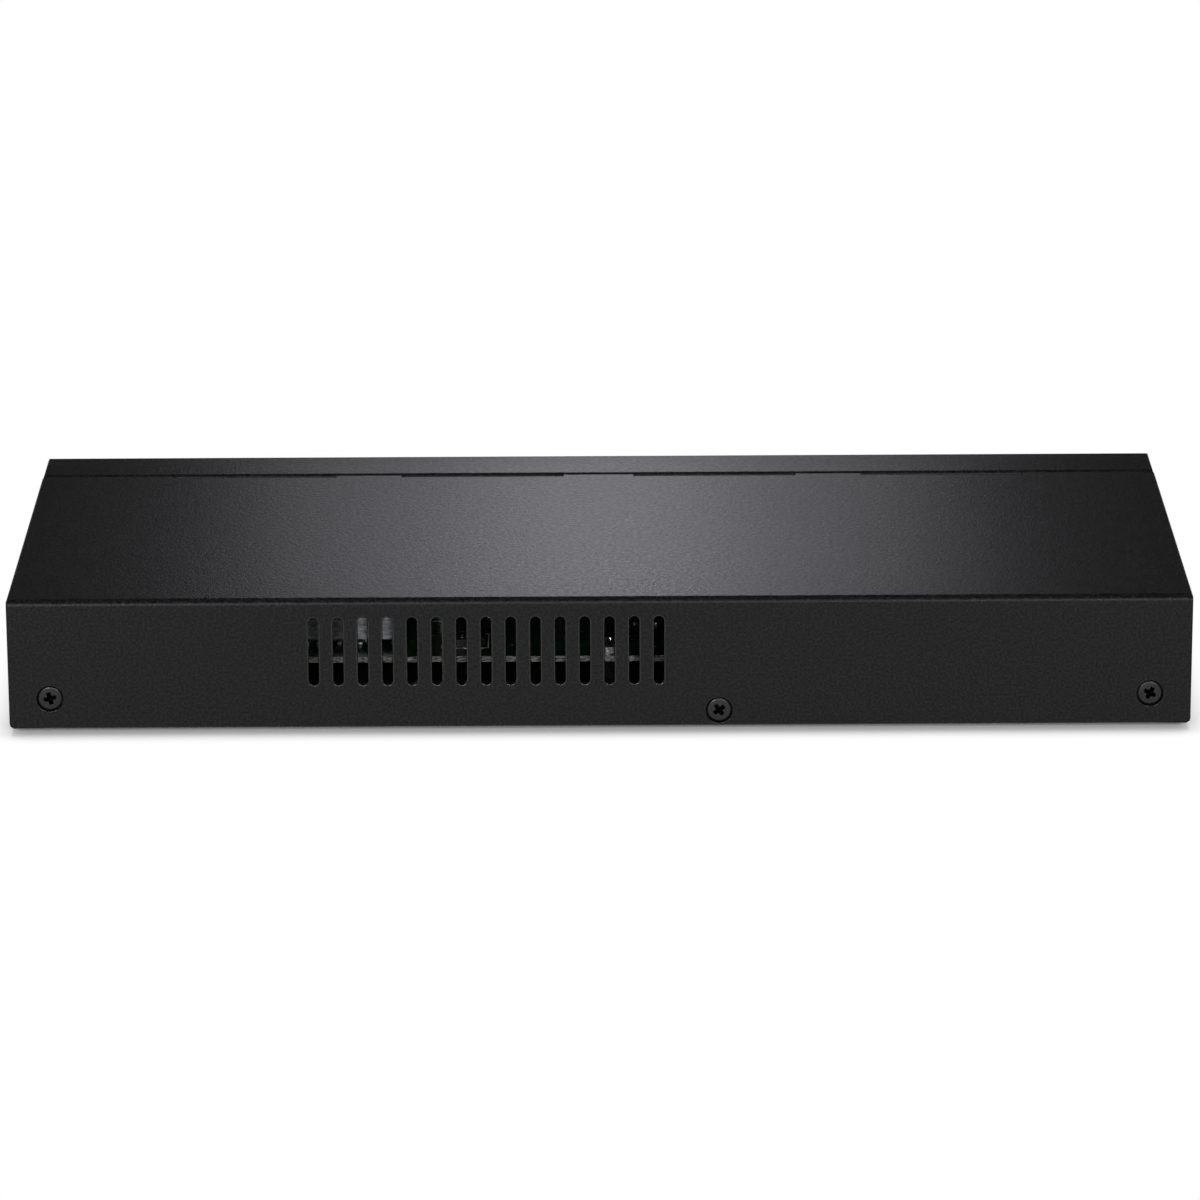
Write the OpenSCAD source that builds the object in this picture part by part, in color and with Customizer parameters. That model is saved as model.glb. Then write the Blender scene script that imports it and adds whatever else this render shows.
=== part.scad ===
// Eight-port desktop network switch: folded steel case, circuit board, ports and power inlet.
// Millimetres, +Z up, ports towards -Y, vented back towards +Y, origin on the table under the middle.

/* [Case] */
// Width of the metal box, side to side
box_w = 240; // [200:1:300]
// Depth of the metal box, front to back
box_d = 105; // [100:1:140]
// Height of the metal box, without its feet
box_h = 27.25; // [27:0.25:40]
// Thickness of the folded steel sheet
sheet = 1; // [0.8:0.1:1.2]
// Outer radius of the folds along the front and the back
fold_r = 1.4; // [1.3:0.1:2]
// Outer radius of the tighter folds along the two sides
side_fold_r = 0.6; // [0.4:0.1:1.4]
// Radius of the back panel's lower corners
corner_r = 1.2; // [0.5:0.1:2]
// Depth of the front strip that belongs to the base
strip_d = 14.5; // [12:0.1:18]
// Gap between the front strip and the cover
seam_gap = 1.2; // [0.5:0.1:1.4]
// Gap between the base's floor and the cover's walls
cover_gap = 0.25; // [0.15:0.05:0.4]
// Share of the sheet's thickness that is rolled down at the strip's back edge
strip_roll = 0.85; // [0.5:0.05:0.95]
// How far the front strip stands in from the cover's sides
strip_inset = 0.12; // [0.05:0.01:0.2]
// Height of the base's low side flanges
side_flange_h = 7; // [5:0.5:9]
// Height of the base's low back flange
back_flange_h = 5.8; // [5.4:0.1:7]

/* [Cover tongues] */
// Nearest edge of the inner tongues to the middle
tongue_in_x = 7.5; // [6:0.5:10]
// Width of each tongue's notch in the cover's front edge
tongue_notch_w = 35; // [25:0.5:38]
// Distance between the two tongues of one half
tongue_spacing = 49; // [46:0.5:54]
// How much deeper the seam is at a tongue
notch_d = 1.3; // [1:0.1:2]
// How far a tongue reaches under the front strip
tongue_reach = 5; // [3:0.5:7]
// Play between a tongue and the strip above it
tongue_play = 0.15; // [0.1:0.05:0.3]
// Side play between a tongue and its notch
notch_play = 0.6; // [0.3:0.1:1]
// Height of the lower edge of the side tongues above the box's underside
side_tongue_z = 12.5; // [12:0.5:14]
// Height of each side tongue's notch
side_tongue_h = 9; // [6:0.5:10]

/* [Ventilation slots] */
// Number of slots in the back panel
slot_count = 15; // [5:1:17]
// Distance from slot to slot
slot_pitch = 5; // [4:0.1:6]
// Width of a slot
slot_w = 2; // [1.5:0.1:2.6]
// Height of the slots' lower ends above the box's underside
slot_low = 9; // [8:0.5:11]
// Distance from the slots' upper ends to the box's top
slot_high = 4; // [3.5:0.5:6]
// Middle of the back slots, from the middle of the box
slot_center_x = 23; // [0:1:40]
// Number of slots in each side
side_slot_count = 10; // [3:1:12]
// Distance from the back panel to the last side slot
side_slot_back = 16; // [10:0.5:20]

/* [Case screws] */
// Shank radius of the M3 screws
screw_r = 1.45; // [1.2:0.01:1.8]
// Play between a screw and its threaded hole
thread_play = 0.05; // [0.02:0.01:0.09]
// Length of a case screw
case_screw_len = 6; // [5:0.5:8]
// Radius of a countersunk head
head_r = 2.45; // [2.3:0.05:2.7]
// Play between a head's cone and its countersink
sink_play = 0.06; // [0.03:0.01:0.1]
// Depth of the straight wall at a countersink's mouth
sink_wall = 0.4; // [0.2:0.05:0.5]
// How deep the heads lie below the panel's face
head_recess = 0.15; // [0.1:0.05:0.2]
// Height of a head's straight rim
head_rim = 0.06; // [0.04:0.01:0.08]
// Distance from the box's side to an end screw
end_screw_in = 8.35; // [8:0.05:10]
// Height of the end screws above the box's underside
end_screw_h = 6.4; // [6:0.05:7]
// Place of the middle screw across the box
mid_screw_x = -24.2; // [-40:0.1:10]
// Height of the middle screw above the box's underside
mid_screw_h = 3.25; // [3.1:0.05:3.3]
// Width of the lugs that hold the end screws
lug_w = 11; // [9:0.5:12]
// Height of the lugs
lug_h = 10.8; // [10:0.1:11.5]
// Wall of the drawn collar round a threaded hole
collar_wall = 0.55; // [0.4:0.05:0.7]
// Length of that collar behind the sheet
collar_len = 1.2; // [0.8:0.1:1.5]

/* [Feet and wall mounting] */
// Height of the rubber feet
foot_h = 1.5; // [1:0.1:4]
// Radius of a foot
foot_r = 6; // [4:0.5:7]
// Distance from the box's side to a foot's middle
foot_in_x = 16; // [9:0.5:25]
// Distance from the box's front or back to a foot's middle
foot_in_y = 12.5; // [9:0.5:20]
// Distance between the two wall hooks' holes
keyhole_spacing = 120; // [100:1:140]
// Radius of the round entry of a keyhole
keyhole_r = 4.25; // [3.5:0.05:4.5]
// Radius of the narrow end of a keyhole
keyhole_slot_r = 2.2; // [1.8:0.05:2.4]
// Distance from the entry's middle to the narrow end's middle
keyhole_run = 7.5; // [6:0.5:9]
// Width of the plain sticker under the floor
label_w = 64; // [40:1:80]
// Depth of the plain sticker
label_d = 30; // [20:1:32]
// Thickness of the sticker
label_t = 0.12; // [0.08:0.01:0.2]

/* [Circuit board] */
// Gap between the board's sides and the box's outer sides
board_side = 8; // [6:0.5:10]
// Gap between the front panel's inner face and the board
board_front = 1; // [0.6:0.1:1.5]
// Depth of the board
board_d = 79.5; // [78:0.5:82]
// Thickness of the board
board_t = 1.2; // [0.8:0.1:1.6]
// Height of the standoffs between the floor and the board
standoff_h = 5.2; // [4:0.1:5.5]
// Wall of a standoff round its thread
standoff_wall = 1.1; // [0.8:0.1:1.4]
// Play between a screw and the board's fixing hole
board_hole_play = 0.25; // [0.15:0.05:0.4]
// Head radius of the board screws
pan_r = 2.8; // [2.6:0.1:3]
// Head height of the board screws
pan_h = 1.8; // [1.5:0.1:2]
// Length of a board screw's shank
board_screw_len = 5; // [4:0.5:5.5]
// Thickness of the insulating film on the floor
film_t = 0.25; // [0.15:0.05:0.4]

/* [Network ports] */
// Distance from port to port in a block
port_pitch = 13.97; // [13.7:0.01:14.6]
// Ports in one block
ports_per_block = 4; // [4:1:4]
// Width of a block beyond its port pitches
block_extra = 1.5; // [1.2:0.1:2]
// Gap between the two blocks
block_gap = 1; // [0.6:0.1:2]
// Distance from the board's right edge to the nearer block
block_right = 2.2; // [2:0.1:4]
// Depth of a block
block_d = 21; // [20:0.5:22]
// Height of a block
block_h = 13.4; // [13.2:0.1:14]
// How deep the block's face lies in the front panel
face_in = 0.3; // [0.2:0.05:0.6]
// Play between a block and its window
window_play = 0.3; // [0.2:0.05:0.5]
// Thickness of the tinned shield
shield_t = 0.25; // [0.2:0.05:0.3]
// Width of a plug cavity
plug_w = 11.9; // [11.8:0.05:12.2]
// Height of a plug cavity's floor above the board
plug_low = 4.1; // [4:0.1:4.3]
// Height of a plug cavity
plug_h = 6.7; // [6.6:0.05:6.8]
// Depth of a plug cavity
plug_d = 13.5; // [13:0.1:14]
// Width of the latch's channel
latch_w = 6.2; // [6:0.1:6.4]
// Depth of the latch's channel below the cavity
latch_h = 1.9; // [1.7:0.1:2]
// Width of the latch's guide
guide_w = 3.4; // [3:0.1:3.6]
// Depth of the latch's guide below its channel
guide_h = 0.9; // [0.7:0.1:1]
// Spacing of the eight contacts
contact_pitch = 1.02; // [1:0.01:1.04]
// Width of a contact wire
contact_w = 0.36; // [0.3:0.01:0.42]
// Thickness of a contact wire
contact_t = 0.3; // [0.25:0.01:0.35]
// How far a contact dips at its free end
contact_dip = 2.1; // [1.8:0.1:2.2]
// Width of a port's indicator window
light_w = 2.6; // [2.2:0.1:2.8]
// Height of a port's indicator window
light_h = 1.5; // [1.3:0.1:1.6]
// Depth of an indicator's moulding
light_d = 4; // [3:0.1:5]

/* [Power inlet] */
// Distance from the board's left edge to the inlet's middle
inlet_left = 12; // [10:0.5:16]
// Width of the inlet's housing
inlet_w = 9; // [9:0.1:10]
// Height of the inlet's housing
inlet_h = 11; // [10.8:0.1:11.5]
// Depth of the inlet's housing
inlet_d = 14.2; // [13.5:0.1:15]
// Height of the inlet's axis above the board
inlet_axis = 6.5; // [6.3:0.1:6.7]
// Radius of the inlet's barrel
barrel_r = 3.15; // [3:0.05:3.3]
// Depth of the barrel
barrel_d = 9.5; // [9:0.1:10.5]
// Radius of the centre pin
pin_r = 1; // [0.8:0.05:1.25]
// How far the centre pin stays behind the face
pin_in = 0.8; // [0.5:0.1:1.2]

/* [Reset and power light] */
// Distance from the board's left edge to the reset switch
reset_left = 42; // [38:0.5:46]
// Distance from the board's left edge to the power light
lamp_left = 28; // [24:0.5:30]
// Height of the reset switch's and the power light's axis above the board
panel_axis = 3.6; // [3.4:0.1:3.8]
// Radius of the pinhole
pinhole_r = 1; // [0.8:0.05:1.2]
// Radius of the reset plunger
plunger_r = 1.65; // [1.5:0.05:1.8]
// Play round the plunger
plunger_play = 0.08; // [0.06:0.01:0.1]
// Travel of the plunger
plunger_travel = 0.3; // [0.2:0.05:0.4]
// Radius of the power light's lens
lamp_r = 1.45; // [1.4:0.05:1.5]

/* [Switching chip and heat sink] */
// Width and depth of the switching chip
chip_w = 20; // [18:0.5:24]
// Thickness of the chip with its gap below
chip_h = 1.4; // [1.2:0.1:1.6]
// Thickness of the thermal tape
tape_t = 0.2; // [0.15:0.05:0.5]
// Width of the heat sink
sink_w = 32; // [28:0.5:36]
// Depth of the heat sink
sink_d = 30; // [26:0.5:32]
// Height of the heat sink
sink_h = 10; // [8:0.5:12]
// Thickness of the heat sink's foot plate
sink_base = 2; // [1.5:0.1:3]
// Thickness of a fin
fin_t = 1.1; // [0.8:0.1:1.4]
// Number of fins
fin_count = 8; // [6:1:9]
// Distance from the board's back edge to the heat sink
sink_back = 6.7; // [5:0.1:8]
// Distance from the middle of the ports to the chip, to the right
chip_right = 4.5; // [0:0.5:8]

/* [Board components] */
// Width of a line transformer
transformer_w = 12; // [11.5:0.1:12.4]
// Depth of a line transformer
transformer_d = 15; // [14:0.1:15.5]
// Height of a line transformer
transformer_h = 5.6; // [4.5:0.1:6.5]
// Gap between the port blocks and the transformers
transformer_gap = 2.6; // [2:0.1:3]
// Height of the capacitors' plastic feet
cap_foot_h = 1.6; // [1.2:0.1:2]
// Side of a power inductor
inductor_w = 8; // [7:0.1:9]
// Height of a power inductor
inductor_h = 4.2; // [3:0.1:5]

/* [Hidden] */
$fn = 48;

cut = 1;        // how far a cutting solid runs past what it cuts
snug = 0.03;    // play between pieces that lie against each other
weld = 0.5;     // how far a piece of one solid runs into the rest of it
dip_lead = 0.4; // how much earlier the inner side of a tongue's dip starts

// planes of the metal box
half_w = box_w / 2;
front_y = -box_d / 2;
back_y = box_d / 2;
low_z = foot_h;
top_z = foot_h + box_h;
floor_z = low_z + sheet;
seam_y = front_y + strip_d;
strip_half = half_w - strip_inset;
floor_half = half_w - sheet - cover_gap;
flange_y = back_y - sheet - cover_gap;
slot_len = box_h - slot_low - slot_high;

// cover tongues: how far they lie below the strip's outer face, and where their notches end
tongue_drop = sheet + tongue_play;
cover_front_y = seam_y + seam_gap;
notch_y = cover_front_y + notch_d;
tongue_x = [for (s = [-1, 1], i = [0, 1]) s * (tongue_in_x + tongue_notch_w / 2 + i * tongue_spacing)];

// case screws: place across and height, from the left end to the right end
case_screws = [[-(half_w - end_screw_in), low_z + end_screw_h], [mid_screw_x, low_z + mid_screw_h],
    [half_w - end_screw_in, low_z + end_screw_h]];
thread_r = screw_r + thread_play;
collar_r = thread_r + collar_wall;
head_taper = (head_r - screw_r) / (sheet - head_recess);
sink_r = head_r + sink_play + head_taper * (head_recess + head_rim);
sink_small_r = sink_r - head_taper * sheet;

// board planes, edges and fixings
standoff_r = thread_r + standoff_wall;
board_hole_r = screw_r + board_hole_play;
board_z = floor_z + standoff_h;
deck_z = board_z + board_t;
board_left = -half_w + board_side;
board_right = half_w - board_side;
board_y0 = front_y + sheet + board_front;
board_y1 = board_y0 + board_d;

// port blocks
block_w = ports_per_block * port_pitch + block_extra;
block_x = [board_right - block_right - 1.5 * block_w - block_gap, board_right - block_right - block_w / 2];
ports_x = (block_x[0] + block_x[1]) / 2;
face_y = front_y + face_in;
block_y1 = face_y + block_d;
housing_y0 = face_y + shield_t + snug;
plug_y1 = housing_y0 + plug_d;
plug_top = plug_low + plug_h;
light_low = plug_top + 0.4;
light_x = port_pitch / 2 - 1 - light_w / 2;
transformer_y = block_y1 + transformer_gap + transformer_d / 2;

// chip and heat sink
chip_x = ports_x + chip_right;
sink_y = board_y1 - sink_back - sink_d / 2;

// inlet, reset switch and power light
inlet_x = board_left + inlet_left;
inlet_z = deck_z + inlet_axis;
pin_root_r = pin_r + 0.3;
reset_x = board_left + reset_left;
lamp_x = board_left + lamp_left;
panel_z = deck_z + panel_axis;
plunger_tip_y = front_y + sheet + 1.1;
plunger_out = 1.5;
plunger_in = 1;
reset_y0 = plunger_tip_y + plunger_out;
reset_size = [6.2, 3.6, 6.6];
frame_t = 0.3;
lamp_flange_y = front_y + sheet + 0.4;

// standoffs on the floor, kept clear of the ports, the inlet and the heat sink
hole_side = 5;
hole_back = 6;
standoffs = [[board_left + hole_side, board_y0 + 19.5], [board_left + hole_side, board_y1 - hole_back],
    [ports_x - 54, board_y1 - hole_back], [board_right - hole_side, board_y1 - hole_back],
    [board_right - hole_side + 1, board_y0 + 44.5], [block_x[0] - block_w / 2 - 10, board_y0 + 6.5]];

// wall hooks: the entry's middle, from the middle of the floor
keyholes = [[-keyhole_spacing / 2, 0], [keyhole_spacing / 2, 0]];

// capacitors: place across, place in depth, radius, height
capacitors = [[chip_x - 28.5, board_y1 - 10.5, 4, 10.5], [board_left + 22, board_y0 + 31, 5, 12.5],
    [board_left + 34, board_y0 + 31, 5, 12.5]];
inductors = [[board_left + 48, board_y0 + 26], [board_left + 48, board_y0 + 40]];
regulators = [[board_left + 36, board_y0 + 44], [board_left + 60, board_y0 + 26]];

// test header near the board's back edge
header_x = ports_x - 97;
header_y = board_y1 - 4;
header_pitch = 2.54;
header_pin_w = 0.64;
header_pin_h = 8.5;

// ---- shared shapes ----

// a flat outline with round ends, standing along Y of the sheet
module stadium(w, len) {
    translate([0, w / 2]) circle(d = w);
    translate([0, len - w / 2]) circle(d = w);
    translate([-w / 2, w / 2]) square([w, len - w]);
}

// a rectangle from corner to corner, round where asked: low left, low right, high left, high right
module soft_rect(a, b, r, round_at) {
    corners = [[a[0], a[1], 1, 1], [b[0], a[1], -1, 1], [a[0], b[1], 1, -1], [b[0], b[1], -1, -1]];
    difference() {
        translate(a) square([b[0] - a[0], b[1] - a[1]]);
        for (i = [0 : 3]) if (round_at[i] && r > 0) corner_waste(corners[i], r);
    }
}

// what a round corner of radius r takes away
module corner_waste(c, r) {
    translate([c[0], c[1]]) mirror([c[2] < 0 ? 1 : 0, 0]) mirror([0, c[3] < 0 ? 1 : 0])
        difference() {
            translate([-cut, -cut]) square(r + cut);
            translate([r, r]) circle(r = r);
        }
}

// an outline in the side view, extruded across the box
module across(x0, x1) {
    translate([x0, 0, 0]) rotate([90, 0, 90]) linear_extrude(x1 - x0) children();
}

// an outline in the front view, extruded in depth
module deep(y0, y1) {
    translate([0, y1, 0]) rotate([90, 0, 0]) linear_extrude(y1 - y0) children();
}

// a box between two opposite corners
module span(a, b) {
    translate(a) cube(b - a);
}

// a round bar along Y
module bar_y(x, z, y0, y1, r) {
    translate([x, y1, z]) rotate([90, 0, 0]) cylinder(r = r, h = y1 - y0);
}

// ---- case ----

// the solid inside of the case at a wall depth t: the front strip's share, round at every outer fold
module strip_block(t) {
    r = max(fold_r - t, 0.2);
    intersection() {
        across(-half_w, half_w)
            soft_rect([front_y + t, low_z + t], [seam_y + (t > 0 ? cut : 0), top_z - t], r, [1, 0, 1, 0]);
        // the strip's back edge is rolled down
        if (t == 0) across(-half_w, half_w)
            soft_rect([front_y, low_z], [seam_y, top_z], strip_roll * sheet, [0, 0, 0, 1]);
        deep(front_y, seam_y + cut)
            soft_rect([-strip_half + t, low_z + t], [strip_half - t, top_z - t],
                max(side_fold_r - t, 0.2), [0, 0, 1, 1]);
        translate([0, 0, low_z]) linear_extrude(box_h)
            soft_rect([-strip_half + t, front_y + t], [strip_half - t, seam_y + cut], r, [1, 1, 0, 0]);
    }
}

// the outer block of the cover at a wall depth t, open below
module cover_block(t) {
    r = max(fold_r - t, 0.2);
    y0 = cover_front_y - (t > 0 ? cut : 0);
    z0 = low_z - (t > 0 ? cut : 0);
    intersection() {
        across(-half_w, half_w) soft_rect([y0, z0], [back_y - t, top_z - t], r, [0, 0, 0, 1]);
        deep(y0, back_y)
            soft_rect([-half_w + t, z0], [half_w - t, top_z - t], max(side_fold_r - t, 0.2), [0, 0, 1, 1]);
    }
}

// a tongue's side view: it dips below the plate at the notch and runs on under the strip
module tongue_outline() {
    dip_y = cover_front_y;
    tip_y = seam_y - tongue_reach;
    polygon([[notch_y + weld, top_z], [notch_y, top_z], [dip_y, top_z - tongue_drop],
        [tip_y, top_z - tongue_drop], [tip_y, top_z - tongue_drop - sheet],
        [dip_y - dip_lead, top_z - tongue_drop - sheet], [notch_y - dip_lead, top_z - sheet],
        [notch_y + weld, top_z - sheet]]);
}

// the same tongue lying in the side wall: seen from above, x measured out from the middle
module side_tongue_outline() {
    face = strip_half - tongue_drop;
    tip_y = seam_y - tongue_reach;
    polygon([[half_w, notch_y + weld], [half_w, notch_y], [face, cover_front_y], [face, tip_y],
        [face - sheet, tip_y], [face - sheet, cover_front_y - dip_lead],
        [half_w - sheet, notch_y - dip_lead], [half_w - sheet, notch_y + weld]]);
}

module countersink(place) {
    translate([place[0], back_y, place[1]]) rotate([-90, 0, 0]) rotate_extrude()
        polygon([[0, cut], [sink_r, cut], [sink_r, -sink_wall], [sink_r - head_taper * sink_wall, -sink_wall],
            [sink_small_r, -sheet], [sink_small_r, -sheet - cut], [0, -sheet - cut]]);
}

module top_cover() {
    color("dimgray") difference() {
        union() {
            difference() {
                cover_block(0);
                cover_block(sheet);
                for (x = tongue_x)
                    span([x - tongue_notch_w / 2, cover_front_y - cut, top_z - 2 * sheet],
                        [x + tongue_notch_w / 2, notch_y, top_z + cut]);
                for (s = [-1, 1]) translate([s * half_w, 0, low_z + side_tongue_z])
                    span([-2 * sheet, cover_front_y - cut, 0], [2 * sheet, notch_y, side_tongue_h]);
            }
            for (x = tongue_x)
                across(x - tongue_notch_w / 2 + notch_play, x + tongue_notch_w / 2 - notch_play)
                    tongue_outline();
            for (m = [0, 1]) mirror([m, 0, 0])
                translate([0, 0, low_z + side_tongue_z + notch_play])
                    linear_extrude(side_tongue_h - 2 * notch_play) side_tongue_outline();
        }
        // back slots
        for (i = [0 : slot_count - 1])
            translate([slot_center_x + (i - (slot_count - 1) / 2) * slot_pitch, 0, low_z + slot_low])
                deep(back_y - 2 * sheet, back_y + cut) stadium(slot_w, slot_len);
        // side slots
        for (s = [-1, 1], i = [0 : side_slot_count - 1])
            translate([s * half_w, back_y - side_slot_back - i * slot_pitch, low_z + slot_low])
                across(-2 * sheet, 2 * sheet) stadium(slot_w, slot_len);
        for (place = case_screws) countersink(place);
        // round lower corners of the back panel
        deep(back_y - sheet, back_y + cut) for (s = [-1, 1])
            corner_waste([s * half_w, low_z, -s, 1], corner_r);
    }
}

module keyhole() {
    linear_extrude(sheet + 2 * cut) {
        circle(r = keyhole_r);
        translate([0, keyhole_run]) circle(r = keyhole_slot_r);
        translate([-keyhole_slot_r, 0]) square([2 * keyhole_slot_r, keyhole_run]);
    }
}

module base_tray() {
    color("gray") difference() {
        union() {
            // front strip with the floor below it
            difference() {
                strip_block(0);
                strip_block(sheet);
                span([-half_w, seam_y, low_z - cut], [half_w, seam_y + 2 * cut, top_z + cut]);
            }
            // floor
            span([-floor_half, seam_y - sheet, low_z], [floor_half, flange_y, floor_z]);
            // low side flanges
            for (m = [0, 1]) mirror([m, 0, 0])
                span([floor_half - sheet, notch_y, low_z], [floor_half, flange_y, low_z + side_flange_h]);
            // low back flange with the lugs and collars of the case screws
            span([-floor_half, flange_y - sheet, low_z], [floor_half, flange_y, low_z + back_flange_h]);
            for (s = [-1, 1]) deep(flange_y - sheet, flange_y)
                soft_rect([s * (half_w - end_screw_in) - lug_w / 2, low_z],
                    [s * (half_w - end_screw_in) + lug_w / 2, low_z + lug_h], 2, [0, 0, 1, 1]);
            for (p = case_screws) bar_y(p[0], p[1], flange_y - sheet - collar_len, flange_y, collar_r);
        }
        for (p = case_screws)
            bar_y(p[0], p[1], flange_y - sheet - collar_len - cut, flange_y + cut, thread_r);
        for (k = keyholes) translate([k[0], k[1], low_z - cut]) keyhole();
        // windows of the port blocks
        for (x = block_x)
            deep(front_y - cut, front_y + 2 * sheet)
                soft_rect([x - block_w / 2 - window_play, deck_z - window_play],
                    [x + block_w / 2 + window_play, deck_z + block_h + window_play], 0.5, [1, 1, 1, 1]);
        // window of the power inlet
        deep(front_y - cut, front_y + 2 * sheet)
            soft_rect([inlet_x - inlet_w / 2 - window_play, deck_z - window_play],
                [inlet_x + inlet_w / 2 + window_play, deck_z + inlet_h + window_play], 0.5, [1, 1, 1, 1]);
        bar_y(reset_x, panel_z, front_y - cut, front_y + 2 * sheet, pinhole_r);
        bar_y(lamp_x, panel_z, front_y - cut, front_y + 2 * sheet, lamp_r + 0.15);
    }
}

// crossed slots of a Phillips recess, sunk from z = 0 downwards
module cross_recess(w, len, depth) {
    for (a = [0, 90]) rotate(a) translate([-len / 2, -w / 2, -depth]) cube([len, w, depth + cut]);
    translate([0, 0, -depth]) cylinder(r1 = w * 0.6, r2 = w * 1.1, h = depth);
}

// one countersunk screw with its head's face at z = 0 and its shank along -z
module countersunk_screw() {
    head_h = sheet - head_recess;
    difference() {
        rotate_extrude() polygon([[0, 0], [head_r, 0], [head_r, -head_rim], [screw_r, -head_h - head_rim],
            [screw_r, -case_screw_len + 0.5], [screw_r - 0.5, -case_screw_len], [0, -case_screw_len]]);
        rotate(18) cross_recess(0.7, 2.9, 1.1);
    }
}

module cover_screws() {
    color([0.1, 0.1, 0.1]) for (p = case_screws)
        translate([p[0], back_y - head_recess, p[1]]) rotate([-90, 0, 0]) countersunk_screw();
}

module foot(sx, sy) {
    color([0.08, 0.08, 0.08])
        translate([sx * (half_w - foot_in_x), sy * (box_d / 2 - foot_in_y), 0]) rotate_extrude()
            polygon([[0, 0], [foot_r - 0.5, 0], [foot_r, 0.5], [foot_r, foot_h], [0, foot_h]]);
}

module rating_label() {
    color("silver") translate([0, front_y + 12 + label_d / 2, low_z - label_t]) linear_extrude(label_t)
        soft_rect([-label_w / 2, -label_d / 2], [label_w / 2, label_d / 2], 2, [1, 1, 1, 1]);
}

// ---- board and its fixings ----

module insulating_film() {
    color([0.9, 0.9, 0.85]) difference() {
        span([board_left + 1, board_y0 + 1, floor_z], [board_right - 1, board_y1, floor_z + film_t]);
        for (p = standoffs) translate([p[0], p[1], floor_z - cut]) cylinder(r = standoff_r + 1, h = 3 * cut);
        for (k = keyholes)
            span([k[0] - keyhole_r - 1, k[1] - keyhole_r - 1, floor_z - cut],
                [k[0] + keyhole_r + 1, k[1] + keyhole_run + keyhole_slot_r + 1, floor_z + 2 * cut]);
    }
}

module board_standoffs() {
    color([0.1, 0.1, 0.1]) for (p = standoffs) translate([p[0], p[1], floor_z]) difference() {
        cylinder(r = standoff_r, h = standoff_h);
        translate([0, 0, -cut]) cylinder(r = thread_r, h = standoff_h + 2 * cut);
    }
}

module board_screws() {
    color("silver") for (p = standoffs) translate([p[0], p[1], deck_z]) difference() {
        union() {
            intersection() {
                cylinder(r = pan_r, h = pan_h);
                translate([0, 0, pan_h - 4.2]) sphere(r = 4.2);
            }
            translate([0, 0, -board_screw_len]) cylinder(r = screw_r, h = board_screw_len + pan_h / 2);
        }
        translate([0, 0, pan_h]) rotate(30) cross_recess(0.7, 3, 1.1);
    }
}

module main_board() {
    color("darkgreen") difference() {
        span([board_left, board_y0, board_z], [board_right, board_y1, deck_z]);
        for (p = standoffs) translate([p[0], p[1], board_z - cut])
            cylinder(r = board_hole_r, h = board_t + 2 * cut);
    }
}

// ---- network ports ----

// middle of port i of a block, from the block's middle
function port_x(i) = (i - (ports_per_block - 1) / 2) * port_pitch;

// outline of one port's mouth, above the board
module port_mouth(play) {
    grow = 2 * play;
    translate([-plug_w / 2 - play, plug_low - play]) square([plug_w + grow, plug_h + grow]);
    translate([-latch_w / 2 - play, plug_low - latch_h - play]) square([latch_w + grow, latch_h + grow]);
    translate([-guide_w / 2 - play, plug_low - latch_h - guide_h - play])
        square([guide_w + grow, guide_h + grow]);
}

module port_shield(b) {
    w = block_w / 2;
    color("gainsboro") translate([block_x[b], 0, deck_z]) difference() {
        span([-w, face_y, 0], [w, block_y1, block_h]);
        span([-w + shield_t, face_y + shield_t, -cut],
            [w - shield_t, block_y1 - shield_t, block_h - shield_t]);
        for (i = [0 : ports_per_block - 1]) translate([port_x(i), 0, 0]) {
            deep(face_y - cut, face_y + 2 * shield_t) port_mouth(0.1);
            for (s = [-1, 1])
                span([s * light_x - light_w / 2 - snug, face_y - cut, light_low - snug],
                    [s * light_x + light_w / 2 + snug, face_y + 2 * shield_t, light_low + light_h + snug]);
        }
    }
}

module port_housing(b) {
    w = block_w / 2 - shield_t - snug;
    color([0.12, 0.12, 0.12]) translate([block_x[b], 0, deck_z]) difference() {
        span([-w, housing_y0, 0], [w, block_y1 - shield_t - snug, block_h - shield_t - snug]);
        for (i = [0 : ports_per_block - 1]) translate([port_x(i), 0, 0]) {
            deep(housing_y0 - cut, plug_y1) port_mouth(0);
            for (s = [-1, 1])
                span([s * light_x - light_w / 2 - snug, housing_y0 - cut, light_low - snug],
                    [s * light_x + light_w / 2 + snug, face_y + light_d + snug, light_low + light_h + snug]);
        }
    }
}

// one contact from the side: flat under the cavity's roof, then sloping down to its free end
module contact_outline() {
    top = plug_top;
    y0 = face_y + 2.4;
    y1 = y0 + 2;
    y2 = plug_y1 - 1.2;
    polygon([[y0, top], [y1, top], [y2, top - contact_dip + contact_t], [y2, top - contact_dip],
        [y1, top - contact_t], [y0, top - contact_t]]);
}

module port_contacts(b) {
    color("gold") translate([block_x[b], 0, deck_z])
        for (i = [0 : ports_per_block - 1], j = [0 : 7])
            translate([port_x(i) + (j - 3.5) * contact_pitch, 0, 0])
                across(-contact_w / 2, contact_w / 2) contact_outline();
}

module port_lights(b) {
    color("palegreen") translate([block_x[b], 0, deck_z])
        for (i = [0 : ports_per_block - 1], s = [-1, 1])
            translate([port_x(i) + s * light_x, 0, light_low])
                span([-light_w / 2, face_y, 0], [light_w / 2, face_y + light_d, light_h]);
}

// ---- board components ----

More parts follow.
